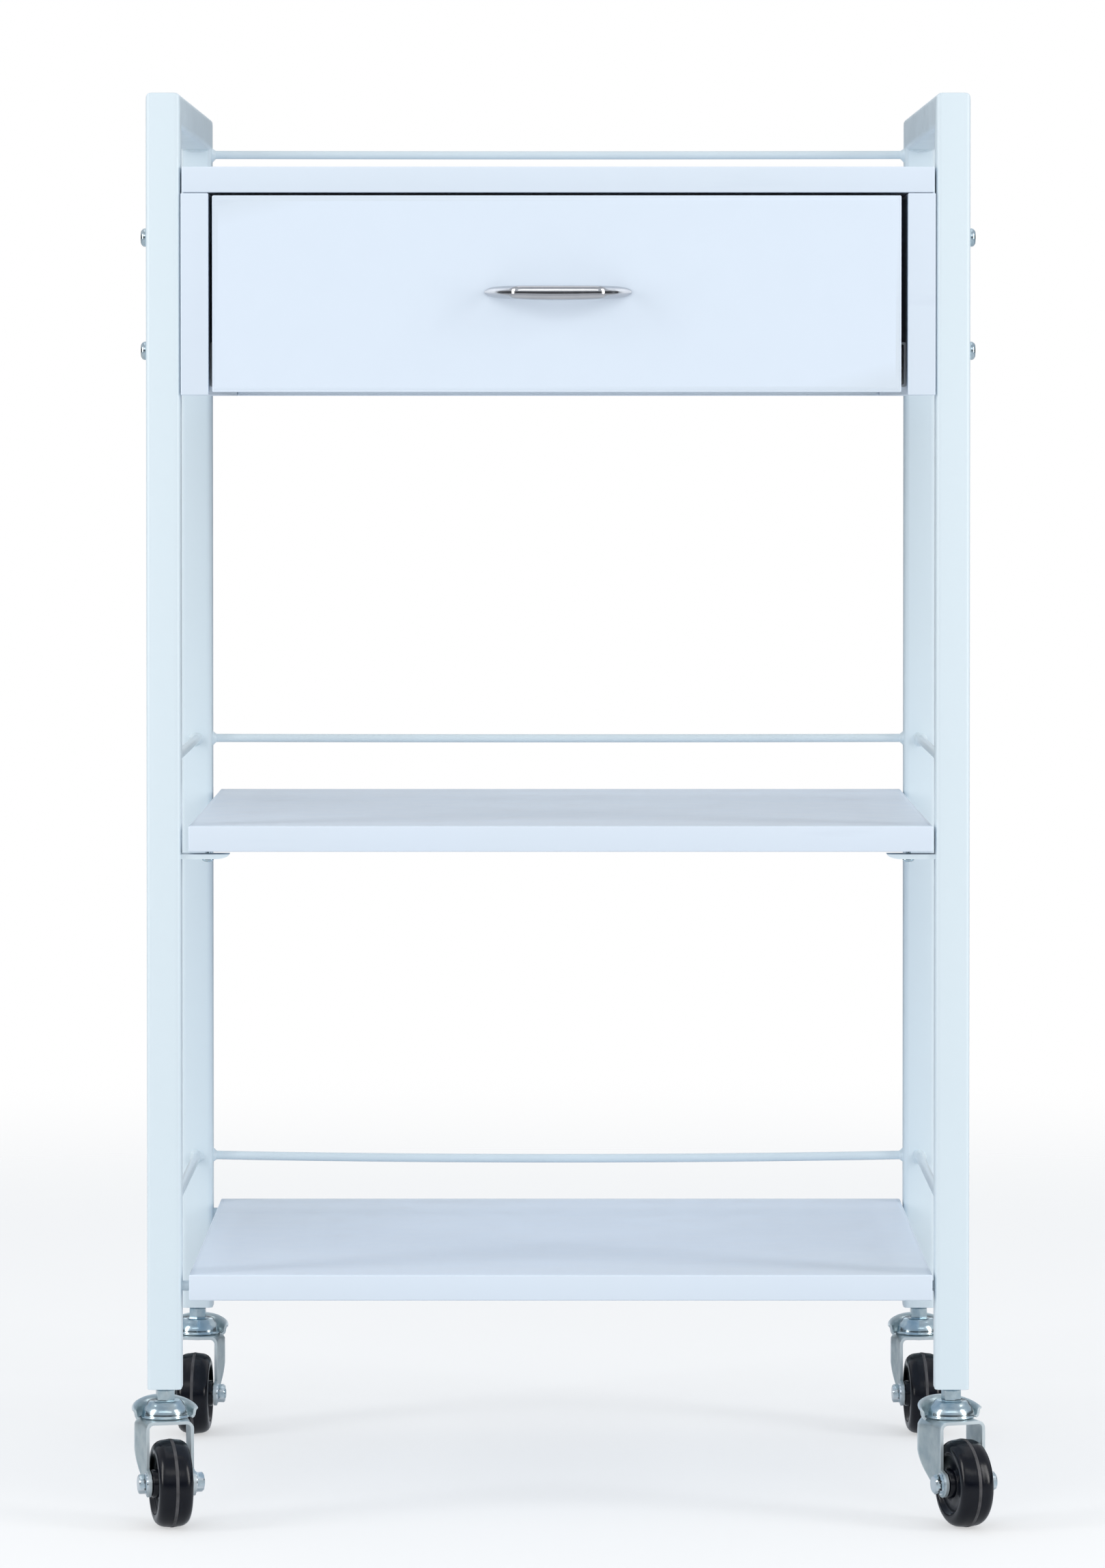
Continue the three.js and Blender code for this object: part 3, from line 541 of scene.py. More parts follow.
def wheel_rubber():
    """Hard black moulded rubber: blue-black, glossy, dusty in patches."""
    black = (0.002, 0.003, 0.0068)
    surface = Surface("wheel", Specular_IOR_Level=0.3)
    dust = surface.clouds(9, 4, 0, 1, 0.45, 0.75)
    colour = surface.mix(dust, black, (0.0045, 0.0055, 0.009))
    colour = surface.mix(surface.edges(0.12), colour, (0.009, 0.010, 0.013))
    surface.bump(surface.noise(1.1, 2), 0.012)
    surface.bump(surface.noise(8, 2), 0.05)
    return surface.done(colour, surface.clouds(5, 4, 0.15, 0.27))


def wheel_seam():
    """The mould line of a wheel, rubbed dull grey."""
    grey = (0.085, 0.083, 0.088)
    surface = Surface("wheel_seam")
    colour = surface.mix(surface.clouds(6, 4), grey, tinted(grey, 0.45))
    surface.bump(surface.noise(0.9, 3), 0.05)
    return surface.done(colour, surface.clouds(2, 3, 0.45, 0.65))


MATERIALS = {
    "powder_coat": powder_coat(),
    "white_board": white_board(),
    "drawer_board": drawer_board(),
    "zinc": zinc(),
    "zinc:sheet": zinc_sheet(),
    "chrome": chrome(),
    "rail_steel": rail_steel(),
    "nylon": nylon(),
    "wheel": wheel_rubber(),
    "wheel:seam": wheel_seam(),
}


def carry_over():
    """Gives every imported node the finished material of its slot."""
    for row in frame["record"]["subparts"]:
        mesh = frame["nodes"][row["node"]].data
        mesh.materials.clear()
        mesh.materials.append(MATERIALS[row["material_slot"]])


# ---- side frames
TUBE_WALL = 1.2
TUBE_RADIUS = 3.5
MITRE_ROUNDING = 0.9
PLUG_RECESS = 1
LIP = 0.2  # rounding of the tube's cut end
BEAD_RADIUS = 1.5
COLLAR = [(1.7, 0), (1.55, 0.5), (0.9, 1.2), (0.25, 2.1), (0, 2.4)]  # a weld: (beyond the rod, from the post)


def tube_section(inset=0.0):
    size = TUBE - 2 * inset
    return rectangle(size, size, TUBE_RADIUS - inset, 4)


def foot_rings(x, y):
    """The open end of a post, from the plug inside it out to its wall."""
    rings = []
    for inset, rise in ((TUBE_WALL, PLUG_RECESS), (TUBE_WALL, LIP), (TUBE_WALL - LIP, 0), (LIP, 0)):
        rings.append([Vector((x + u, y - v, POST_FOOT + rise)) for u, v in tube_section(inset)])
    return rings


def side_frame(side):
    """Front post, handle bar and back post as one welded and ground tube."""
    x = SIDES[side] * POST_X
    bm = bmesh.new()
    corners = [(POST_Y["front"], POST_FOOT + LIP), (POST_Y["front"], BAR_Z)]
    corners += [(POST_Y["rear"], BAR_Z), (POST_Y["rear"], POST_FOOT + LIP)]
    path = [Vector((x, y, z)) for y, z in corners]
    rings = foot_rings(x, POST_Y["front"]) + sweep_rings(tube_section(), path, (1, 0, 0))
    # the back post's rings run the other way round its own axis
    for ring in reversed(foot_rings(x, POST_Y["rear"])):
        rings.append([Vector((point.x, 2 * POST_Y["rear"] - point.y, point.z)) for point in ring])
    loops = loft(bm, rings)
    mitres = {vertex for ring, loop in zip(rings, loops) for vertex in loop if ring[0].z > POST_FOOT + TUBE}
    edges = [e for e in bm.edges if e.verts[0] in mitres and e.verts[1] in mitres]
    edges = [e for e in edges if abs(e.verts[0].co.y - e.verts[1].co.y) < TUBE * 2]
    bmesh.ops.bevel(bm, geom=edges, offset=MITRE_ROUNDING, segments=3, profile=0.5, affect="EDGES")
    replaced = [f"handle_bar_{side}", f"post_front_{side}", f"post_rear_{side}"]
    finish_piece(f"side_frame_{side}", bm, "powder_coat", "frame", replaced)


def bead(bm, start, end, radius):
    """A lumpy weld bead between two points."""
    start, end = Vector(start), Vector(end)
    steps = max(8, round((end - start).length / 1.2))
    place = along(end - start, start)
    profile = [(0, -0.3 * radius)]
    for i in range(steps + 1):
        swell = 1 + 0.14 * math.sin(2.3 * i) + 0.08 * math.sin(5.1 * i)
        taper = math.sin(math.pi * (i + 0.7) / (steps + 1.4)) ** 0.4
        profile.append((radius * swell * taper, (end - start).length * i / steps))
    profile.append((0, (end - start).length + 0.3 * radius))
    lathe(bm, profile, 10, place)


def collar(bm, centre, direction, rod_radius, phase):
    """The weld round the end of a rod, on the face of a post."""
    place = along(direction, centre)
    rings = []
    count = 20
    for beyond, away in COLLAR:
        ring = []
        for i in range(count):
            angle = 2 * math.pi * i / count
            lump = 1 + 0.22 * math.sin(3 * angle + phase) + 0.12 * math.sin(7 * angle + 2 * phase)
            reach = rod_radius + beyond * lump
            ring.append(place @ Vector((reach * math.cos(angle), reach * math.sin(angle), away)))
        rings.append(ring)
    loft(bm, rings)


def frame_welds(side):
    """Beads in the corners under the handle bar and round the rods' ends."""
    sign = SIDES[side]
    bm = bmesh.new()
    half = TUBE / 2 - TUBE_RADIUS
    for y in (POST_Y["front"] + TUBE / 2, POST_Y["rear"] - TUBE / 2):
        ends = [(sign * POST_X + across, y, BAR_Z - TUBE / 2) for across in (-half, half)]
        bead(bm, *ends, BEAD_RADIUS)
    for phase, level in enumerate(("top", "mid", "lower")):
        low, high = node_box(f"back_rod_{level}")
        radius = (high.y - low.y) / 2
        collar(bm, (sign * INNER_X, POST_Y["rear"], high.z - radius), (-sign, 0, 0), radius, 1.3 * phase)
    for phase, level in enumerate(("mid", "lower")):
        low, high = node_box(f"side_rod_{level}_{side}")
        radius = (high.z - low.z) / 2
        for end, y in (("front", POST_Y["front"] + TUBE / 2), ("rear", POST_Y["rear"] - TUBE / 2)):
            direction = (0, 1 if end == "front" else -1, 0)
            collar(bm, (sign * POST_X, y, high.z - radius), direction, radius, 0.7 + phase)
    finish_piece(f"frame_welds_{side}", bm, "powder_coat", "frame")


def back_rod(level):
    low, high = node_box(f"back_rod_{level}")
    radius = (high.y - low.y) / 2
    sag = (high.z - low.z) - 2 * radius
    count = 33 if sag > 0.1 else 2
    path = []
    for i in range(count):
        u = -1 + 2 * i / (count - 1)
        path.append(Vector((u * INNER_X, POST_Y["rear"], high.z - radius - sag * (1 - u * u))))
    bm = bmesh.new()
    loft(bm, sweep_rings(circle(radius, 24), path, (0, 1, 0)))
    finish_piece(f"gallery_rod_{level}", bm, "powder_coat", "frame", [f"back_rod_{level}"])


def side_rod(level, side):
    low, high = node_box(f"side_rod_{level}_{side}")
    radius = (high.z - low.z) / 2
    ends = (POST_Y["front"] + TUBE / 2, POST_Y["rear"] - TUBE / 2)
    path = [Vector(((low.x + high.x) / 2, y, high.z - radius)) for y in ends]
    bm = bmesh.new()
    loft(bm, sweep_rings(circle(radius, 24), path, (1, 0, 0)))
    finish_piece(f"gallery_side_rod_{level}_{side}", bm, "powder_coat", "frame", [f"side_rod_{level}_{side}"])


# ---- screws
def screw(bm, place, radius, height, shank, recess=cross, segments=32):
    """A pan head on its shank, drawn in shares of its radius and height. Z points out of it."""
    drive = 0.52 * radius
    profile = [(0, -shank), (0.42 * radius, -shank), (0.42 * radius, 0)]
    dome = [(0.97, 0), (1, 0.12), (1, 0.4), (0.96, 0.62), (0.84, 0.84), (0.7, 0.96)]
    profile += [(radius * across, height * up) for across, up in dome]
    profile.append((drive * 1.25, height))
    profile += [(drive * across, height * up, recess) for across, up in ((1, 1), (0.88, 0.8), (0.6, 0.35))]
    lathe(bm, profile + [(0, 0.2 * height)], segments, place)


BOLT_SHANK = 29


def cabinet_bolts(side):
    """Pan-head bolts through the posts, with hexagon sockets."""
    sign = SIDES[side]
    for end in ENDS:
        for level in ("low", "high"):
            node = f"cabinet_bolt_{end}_{side}_{level}"
            low, high = node_box(node)
            radius = (high.z - low.z) / 2
            height = max(abs(low.x), abs(high.x)) - OUTER_X
            bm = bmesh.new()
            centre = (sign * OUTER_X, (low.y + high.y) / 2, (low.z + high.z) / 2)
            screw(bm, along((sign, 0, 0), centre), radius, height, BOLT_SHANK, hexagon, 36)
            finish_piece(f"bolt_{end}_{side}_{level}", bm, "zinc", "frame", [node])


# ---- boards
ARRIS = 0.8
BAND = 1.1  # thickness of the edging, whose joint shows as a fine line
LINE_DEPTH = 0.1
LINE_WIDTH = 0.14
CORNER = 1.0
POST_PLAY = 0.3  # left between the cabinet and the posts


def slab(bm, low, high, thin):
    """A board that is thin along one axis, with rounded arrises and the fine line of its edging."""
    flat = [axis for axis in range(3) if axis != thin]
    size = [high[axis] - low[axis] for axis in flat]
    thickness = high[thin] - low[thin]
    face = [(3 * BAND, 0), (BAND + LINE_WIDTH, 0), (BAND, LINE_DEPTH), (BAND - LINE_WIDTH, 0)]
    for angle in quarter_turn(4):
        face.append((ARRIS * (1 - math.sin(angle)), ARRIS * (1 - math.cos(angle))))
    profile = face + [(inset, thickness - depth) for inset, depth in reversed(face)]
    rings = []
    for inset, depth in profile:
        ring = []
        for point in rectangle(size[0] - 2 * inset, size[1] - 2 * inset, max(CORNER - inset, 0.05)):
            place = Vector((0, 0, 0))
            place[thin] = low[thin] + depth
            for axis, value in zip(flat, point):
                place[axis] = (low[axis] + high[axis]) / 2 + value
            ring.append(place)
        rings.append(ring)
    loft(bm, rings)


def board(name, node, thin, body="frame", slot="white_board", grow=(0, 0, 0)):
    """A board in the place of its node. Grow adds to its size along an axis, towards that side."""
    low, high = node_box(node)
    low += Vector([min(step, 0) for step in grow])
    high += Vector([max(step, 0) for step in grow])
    bm = bmesh.new()
    slab(bm, low, high, thin)
    finish_piece(name, bm, slot, body, [node])


def boards():
    board("top_board_panel", "top_board", 2)
    board("mid_shelf_panel", "mid_shelf", 2)
    board("lower_shelf_panel", "lower_shelf", 2)
    board("cabinet_back_panel", "cabinet_back", 1)
    for side in SIDES:
        # the bolts draw the panel up to the posts
        gap = INNER_X - node_box("cabinet_side_right")[1].x - POST_PLAY
        board(f"cabinet_side_panel_{side}", f"cabinet_side_{side}", 0, grow=(SIDES[side] * gap, 0, 0))


# ---- shelf supports
TAB_SPACE = 1.7  # between tab and shelf
TAB_THICKNESS = 2.8
TAB_NOSE = 9
TAB_WIDTH = 14
PEG_RADIUS = 3
PEG_REACH = 13
PEG_ROOT = 1  # inside the post
TAB_SCREW = (3.4, 1.9)  # radius and height of its head
TAB_SCREW_PLACE = 0.55  # share of the tab's reach from the post


def shelf_supports(side):
    """The tabs welded to the posts under the middle shelf, their screws, and the pegs of the lower shelf."""
    sign = SIDES[side]
    top = node_box("mid_shelf")[0].z - TAB_SPACE
    low, high = node_box(f"post_front_{side}")
    reach = INNER_X - min(abs(low.x), abs(high.x))
    shelf_low, shelf_high = node_box("lower_shelf")
    tabs, screws = bmesh.new(), bmesh.new()
    outline = [(-TUBE_WALL, -TAB_THICKNESS)]
    for angle in quarter_turn(8):
        outline.append((reach - TAB_NOSE + TAB_NOSE * math.sin(angle), -TAB_THICKNESS * math.cos(angle)))
    outline.append((-TUBE_WALL, 0))
    for y in POST_Y.values():
        extrude(tabs, outline, TAB_WIDTH, basis((-sign, 0, 0), (0, 0, 1), (sign * INNER_X, y, top)))
    soften(tabs, 0.5)
    for y in POST_Y.values():
        peg = along((-sign, 0, 0), (sign * (INNER_X + PEG_ROOT), y, (shelf_low.z + shelf_high.z) / 2))
        lathe(tabs, [(0, 0), (PEG_RADIUS, 0), (PEG_RADIUS, PEG_REACH), (0, PEG_REACH)], 20, peg)
        under = (sign * (INNER_X - TAB_SCREW_PLACE * reach), y, top - TAB_THICKNESS)
        screw(screws, along((0, 0, -1), under), *TAB_SCREW, TAB_THICKNESS + TAB_SPACE)
    finish_piece(f"shelf_tabs_{side}", tabs, "powder_coat", "frame")
    finish_piece(f"shelf_tab_screws_{side}", screws, "zinc", "frame")


# ---- drawer
PULL_GRIP = 23.5  # half length of the level stretch
PULL_THICKNESS = 5
PULL_DIP = 0.7  # how far the grip hangs below the feet
PULL_CORNER = 3.5
PULL_TAPER = 0.22  # the feet's ends are lower than the grip by this share
PULL_STEPS = 80
PULL_END = 0.6  # from the middle of a foot's end to the tip


def resampled(points, count):
    """Points evenly spaced along a polyline."""
    lengths = [0.0]
    for before, after in zip(points, points[1:]):
        lengths.append(lengths[-1] + (after - before).length)
    result = []
    k = 0
    for i in range(count + 1):
        wanted = lengths[-1] * i / count
        while k < len(points) - 2 and lengths[k + 1] < wanted:
            k += 1
        share = (wanted - lengths[k]) / (lengths[k + 1] - lengths[k])
        result.append(points[k].lerp(points[k + 1], share))
    return result


def drawer_pull():
    """A cast bow: a level grip that hangs a little, and feet that slope straight back to rounded ends."""
    low, high = node_box("drawer_pull")
    half = (high.x - low.x) / 2
    face = node_box("drawer_front")[0].y
    level = low.y + PULL_THICKNESS / 2
    plan = [(-half + PULL_END, face), (-PULL_GRIP, level), (PULL_GRIP, level), (half - PULL_END, face)]
    path = resampled(rounded(plan, PULL_CORNER, 10, closed=False), PULL_STEPS)
    full = (high.z - low.z) / 2
    section = circle(1, 32)
    rings = []
    for i, (x, y) in enumerate(path):
        ahead, behind = path[min(i + 1, PULL_STEPS)], path[max(i - 1, 0)]
        tangent = (ahead - behind).normalized()
        share = min(abs(x) / half, 1)
        height = max(full * (1 - PULL_TAPER * share**2) * math.sqrt(1 - share**12), 0.5)
        thickness = PULL_THICKNESS / 2 * (1 - 0.3 * share**6)
        middle = (low.z + high.z) / 2 - PULL_DIP * (1 - share**2)
        ring = []
        for u, v in section:
            across = thickness * math.copysign(abs(u) ** 0.9, u)
            back = min(y - tangent.x * across, face)
            ring.append(Vector((x + tangent.y * across, back, middle + height * v)))
        rings.append(ring)
    bm = bmesh.new()
    loft(bm, rings)
    finish_piece("bow_pull", bm, "chrome", "drawer", ["drawer_pull"], sharp=60)


def pull_screws():
    for side, sign in SIDES.items():
        low, high = node_box(f"pull_screw_{side}")
        seat = node_box("drawer_front")[1].y
        bm = bmesh.new()
        centre = ((low.x + high.x) / 2, seat, (low.z + high.z) / 2)
        screw(bm, along((0, 1, 0), centre), (high.x - low.x) / 2, high.y - seat, seat - low.y)
        finish_piece(f"pull_fixing_{side}", bm, "zinc", "drawer", [f"pull_screw_{side}"])


GROOVE_RISE = 7.7  # of the bottom panel's groove above the lower edge of a side
GROOVE_HEIGHT = 3.6
GROOVE_DEPTH = 5.3
BOX_SCREW = (3.6, 0.8)  # radius and height of the heads at the back corners
BOX_SCREW_SHANK = 8
CAM = (6.5, 0.5)  # radius and height of the cams at the front corners
CAM_DEPTH = 6
CAM_INSET = 24
FIXING_HEIGHTS = (0.45, 0.8)  # shares of a side's height
BOARD_ROUNDING = 0.7


def drawer_side(side):
    """A side of the drawer with the bottom panel's groove, its screws at the back and cams at the front."""
    sign = SIDES[side]
    low, high = node_box(f"drawer_side_{side}")
    width, height = high.x - low.x, high.z - low.z
    notch = width - GROOVE_DEPTH
    groove_top = GROOVE_RISE + GROOVE_HEIGHT
    outline = [(0, 0), (width, 0), (width, GROOVE_RISE), (notch, GROOVE_RISE), (notch, groove_top)]
    outline += [(width, groove_top), (width, height), (0, height)]
    outer = max(abs(low.x), abs(high.x))
    bm = bmesh.new()
    place = basis((-sign, 0, 0), (0, 0, 1), (sign * outer, (low.y + high.y) / 2, low.z))
    extrude(bm, rounded(outline, BOARD_ROUNDING), high.y - low.y, place)
    finish_piece(f"drawer_wall_{side}", bm, "drawer_board", "drawer", [f"drawer_side_{side}"])
    fixings = bmesh.new()
    back = node_box("drawer_back")
    for share in FIXING_HEIGHTS:
        z = low.z + share * height
        seat = (sign * outer, (back[0].y + back[1].y) / 2, z)
        screw(fixings, along((sign, 0, 0), seat), *BOX_SCREW, BOX_SCREW_SHANK, segments=24)
        cam = along((-sign, 0, 0), (sign * (outer - width), low.y + CAM_INSET, z))
        radius, rise = CAM
        dish = [(0, -CAM_DEPTH), (radius, -CAM_DEPTH), (radius, rise - 0.2), (radius - 0.4, rise)]
        dish += [(0.62 * radius, rise, cross), (0.55 * radius, 0.3 - rise, cross), (0, 0.2 - rise)]
        lathe(fixings, dish, 32, cam)
    finish_piece(f"drawer_fixings_{side}", fixings, "zinc", "drawer")


def drawer():
    board("drawer_front_panel", "drawer_front", 1, "drawer")
    board("drawer_back_panel", "drawer_back", 1, "drawer", "drawer_board")
    board("drawer_bottom_panel", "drawer_bottom", 2, "drawer", "drawer_board")
    drawer_pull()
    pull_screws()


# ---- roller slides
SLIDE_SHEET = 1.2
SLIDE_LIP = 8
DRAWER_WALL = 12
DRAWER_FLANGE = 9
PIN_RADIUS = 2
PIN_ROOT = 0.9  # from the roller to the web
PIN_END = 0.25  # out of the roller's face
RIVET = (3.1, 1.1)  # radius and height of the head of a roller's pin
SLIDE_BEND = 1.1
SLIDE_GAP = 0.3  # between the drawer's side and its rail
SLIDE_SCREW = (3.6, 0.7)  # radius and height of its head
SLIDE_SCREW_SHANK = 8
SLIDE_SCREW_HEIGHT = 0.55  # share of the rail's height
SLIDE_SCREW_PLACES = (0.16, 0.5, 0.88)  # shares of the rail's length
DRAWER_SCREW = (3, 0.7)
DRAWER_SCREW_SHANK = 7
DRAWER_SCREW_PLACES = (0.12, 0.5, 0.86)
ROLLER_HUB = [(2.4, 1.3), (3.9, 1.3), (4.1, 0.1), (4.9, 0.1), (5.2, 0.9)]  # (radius, below the face)
ROLLER_RIM = [(1.9, 0.9), (1.6, 0), (0.9, 0), (0.3, 0.3), (0, 1)]  # (below the tread, below the face)


def roller_pin(bm, side, roller, inwards):
    """A roller's pin from its rail's web, with a rivet head in the recess of the roller's far face."""
    low, high = node_box(roller)
    sign = SIDES[side] * (-1 if inwards else 1)
    half = (high.x - low.x) / 2
    place = along((sign, 0, 0), (low + high) / 2)
    radius, rise = RIVET
    root, end = -half - PIN_ROOT, half + PIN_END
    profile = [(0, root), (PIN_RADIUS, root), (PIN_RADIUS, end - rise), (radius, end - rise)]
    profile += [(radius, end - 0.6), (0.85 * radius, end - 0.2), (0.45 * radius, end), (0, end)]
    lathe(bm, profile, 24, place)


def slide_rail(side):
    """The cabinet's channel with rounded bends, its screws and the pin of its front roller."""
    sign = SIDES[side]
    low, high = node_box(f"slide_rail_{side}")
    web = max(abs(low.x), abs(high.x))
    width, height, sheet = high.x - low.x, high.z - low.z, SLIDE_SHEET
    outline = [(0, 0), (width, 0), (width, sheet), (sheet, sheet), (sheet, height - sheet)]
    outline += [(SLIDE_LIP, height - sheet), (SLIDE_LIP, height), (0, height)]
    bm = bmesh.new()
    place = basis((-sign, 0, 0), (0, 0, 1), (sign * web, (low.y + high.y) / 2, low.z))
    extrude(bm, rounded(outline, SLIDE_BEND), high.y - low.y, place)
    roller_pin(bm, side, f"slide_roller_{side}", True)
    finish_piece(f"cabinet_slide_{side}", bm, "rail_steel", "frame", [f"slide_rail_{side}"])
    bm = bmesh.new()
    for share in SLIDE_SCREW_PLACES:
        seat = (sign * (web - sheet), low.y + share * (high.y - low.y), low.z + SLIDE_SCREW_HEIGHT * height)
        screw(bm, along((-sign, 0, 0), seat), *SLIDE_SCREW, SLIDE_SCREW_SHANK, segments=24)
    finish_piece(f"cabinet_slide_screws_{side}", bm, "zinc", "frame")


def drawer_rail(side):
    """The drawer's angle with its running flange, its screws from below and the pin of its back roller."""
    sign = SIDES[side]
    low, high = node_box(f"drawer_rail_{side}")
    web = node_box("drawer_side_right")[1].x + SLIDE_GAP
    height, sheet = high.z - low.z, SLIDE_SHEET
    outline = [(-DRAWER_WALL, 0), (sheet, 0), (sheet, height - sheet), (DRAWER_FLANGE, height - sheet)]
    outline += [(DRAWER_FLANGE, height), (0, height), (0, sheet), (-DRAWER_WALL, sheet)]
    bm = bmesh.new()
    place = basis((sign, 0, 0), (0, 0, 1), (sign * web, (low.y + high.y) / 2, low.z))
    extrude(bm, rounded(outline, SLIDE_BEND), high.y - low.y, place)
    roller_pin(bm, side, f"drawer_roller_{side}", False)
    finish_piece(f"drawer_slide_{side}", bm, "rail_steel", "drawer", [f"drawer_rail_{side}"])
    bm = bmesh.new()
    for share in DRAWER_SCREW_PLACES:
        seat = (sign * (web - DRAWER_WALL / 2), low.y + share * (high.y - low.y), low.z)
        screw(bm, along((0, 0, -1), seat), *DRAWER_SCREW, DRAWER_SCREW_SHANK, segments=24)
    finish_piece(f"drawer_slide_screws_{side}", bm, "zinc", "drawer")


def roller(kind, side):
    """A nylon roller with a rounded tread, a rim and a dished web round its hub."""
    node = f"{kind}_roller_{side}"
    low, high = node_box(node)
    radius, half = (high.z - low.z) / 2, (high.x - low.x) / 2
    face = [(reach, half - depth) for reach, depth in ROLLER_HUB]
    face += [(radius - under, half - depth) for under, depth in ROLLER_RIM]
    bm = bmesh.new()
    profile = face + [(reach, -across) for reach, across in reversed(face)]
    lathe(bm, profile, 48, along((1, 0, 0), (low + high) / 2), closed=True)
    finish_piece(f"{kind}_wheel_{side}", bm, "nylon", node, [node], sharp=45)


# ---- casters
WHEEL_WIDTH = 20
HUB_WIDTH = 23
WHEEL_HUB = [(3.3, 0.3), (3.6, 0), (7.4, 0), (8, 0.6)]  # (radius, below the hub's face)
WHEEL_WEB = [(8.4, 2.2), (9.4, 2.8)]  # (radius, below the tyre's face)
WHEEL_RIM = [(9.6, 2.6), (8.6, 1.9), (8, 0.5), (7.2, 0.05)]  # (below the seam's crest, below the tyre's face)
SHOULDER = (4.9, 6.4)  # height and width of the tyre's rounding
SHOULDER_TOP = 0.5  # below the seam's crest
TREAD = 0.2  # below the seam's crest
SEAM = 1.1  # half width of the mould line
SEAM_ROOT = 0.5
SEAM_EDGE = 0.08  # height that the crest loses at 0.8 of its half width
FORK_HALF = 13.1  # from the middle plane to the middle of a leg's sheet
FORK_SHEET = 1.8
FORK_FRONT = -18
FORK_BACK = 12
FORK_BEND = 3.6
CROWN_Z = 60.2
CROWN_BULGE = 1
LEG_FLARE = 0.2  # slope at which the back halves of the legs spread outwards
FLARE_BEND = 2  # softness of that bend
CROWN_RADIUS = 17.5
CROWN_STEPS = 4  # across half of the crown
BEND_STEPS = 6
FORK_COLUMNS = 14
BOSS = 7.8
BOSS_ANGLES = (-86, -78, -70, -62, -54)  # degrees, of the rows under the curve
LEG_STEPS = 14
LEG_TOP = 52
LEG_CURVE = ((12, 41), (7, 27), (-14.9, 19.33))  # (y, z) of the leg's back edge, down to its boss
HOOD_RIM = 65.7
HOOD_RISE = 0.3
HOOD_SHEET = 1.5
HOOD_STEPS = 36
HOOD_PROFILE = [  # (radius, above the rim)
    (15.8, -5.2), (16.7, -4.6), (17.2, -3.6), (17.4, -2.4), (17.6, -1.3), (18.05, -0.5), (18.6, -0.1),
    (19.05, -0.5),
]
CUP_PROFILE = [  # (radius, height), as in the next three
    (4, 61.3), (13.2, 61.3), (13.9, 61.4), (14.1, 61.8), (14, 62.2), (13.7, 62.5), (13.5, 63), (13.4, 64.2),
    (13, 65.8), (12.3, 67.2), (11.2, 68.6), (10.6, 69.6), (9.9, 70.6), (8.8, 71.2), (6.4, 71.3), (6.2, 71.35),
]
STEM_NUT = [(5, 71.4), (5, 77), (4.6, 77.5)]  # hexagon that screws the stem into the post
STEM_TOP = [(4.1, 77.5), (4.1, 79.4), (0, 79.4)]
RIVET_PROFILE = [(0, 56.9), (4.6, 57), (6.2, 57.5), (7, 58.4), (7, 59.1), (0, 59.1)]
AXLE_RADIUS = 3
AXLE_FLATS = 10
AXLE_HEAD = 4.3
THREAD_END = [(3.1, 0), (3, 0.2), (3, 0.4), (2.4, 0.6)]  # (radius, beyond the nut)
WASHER = (6.3, 0.9)  # radius and thickness


def caster_place(name):
    """The placement of a caster's own frame: its swivel axis on the floor, turned as it rests."""
    x, y, _ = JOINTS[f"swivel_{name}"]["pos_m"]
    across = JOINTS[f"roll_{name}"]["axis"]
    turn = Matrix.Rotation(math.atan2(across[1], across[0]), 4, "Z")
    return Matrix.Translation((x / MM, y / MM, 0)) @ turn


def axle_point(name):
    """The middle of a wheel in its caster's own frame."""
    return caster_place(name).inverted() @ (Vector(JOINTS[f"roll_{name}"]["pos_m"]) / MM)


def stem(name):
    """Bearing cup in two tiers with the stem that screws into the post, and the rivet under the crown."""
    bm = bmesh.new()
    nut = [(radius, height, hexagon) for radius, height in STEM_NUT]
    lathe(bm, [(0, CUP_PROFILE[0][1])] + rounded(CUP_PROFILE, 0.4, 2, closed=False) + nut + STEM_TOP, 60)
    lathe(bm, RIVET_PROFILE, 40)
    lathe(bm, [(3.9, 58.9), (3.9, 61.5)], 24)
    node = f"stem_bearing_{name}"
    finish_piece(f"swivel_stem_{name}", bm, "zinc", "frame", [node], caster_place(name))


def leg_rows(axle):
    """The outline of a leg from its boss upwards, as (z, front, back) rows."""
    rows = []
    for degrees in BOSS_ANGLES:
        angle = math.radians(degrees)
        chord = BOSS * math.cos(angle)
        rows.append((axle.z + BOSS * math.sin(angle), axle.y - chord, axle.y + chord))
    top, control, bottom = (Vector(point) for point in LEG_CURVE)
    for k in range(1, LEG_STEPS + 1):
        t = 1 - k / LEG_STEPS
        back, z = top.lerp(control, t).lerp(control.lerp(bottom, t), t)
        chord = math.sqrt(max(BOSS**2 - (z - axle.z) ** 2, 0))
        front = axle.y - chord
        if z >= axle.z:
            front = min(front, FORK_FRONT) if chord else FORK_FRONT
        rows.append((z, front, back))
    rows.append((LEG_TOP, FORK_FRONT, FORK_BACK))
    return rows


def mirrored(flat):
    return Vector((-flat.x, flat.y))


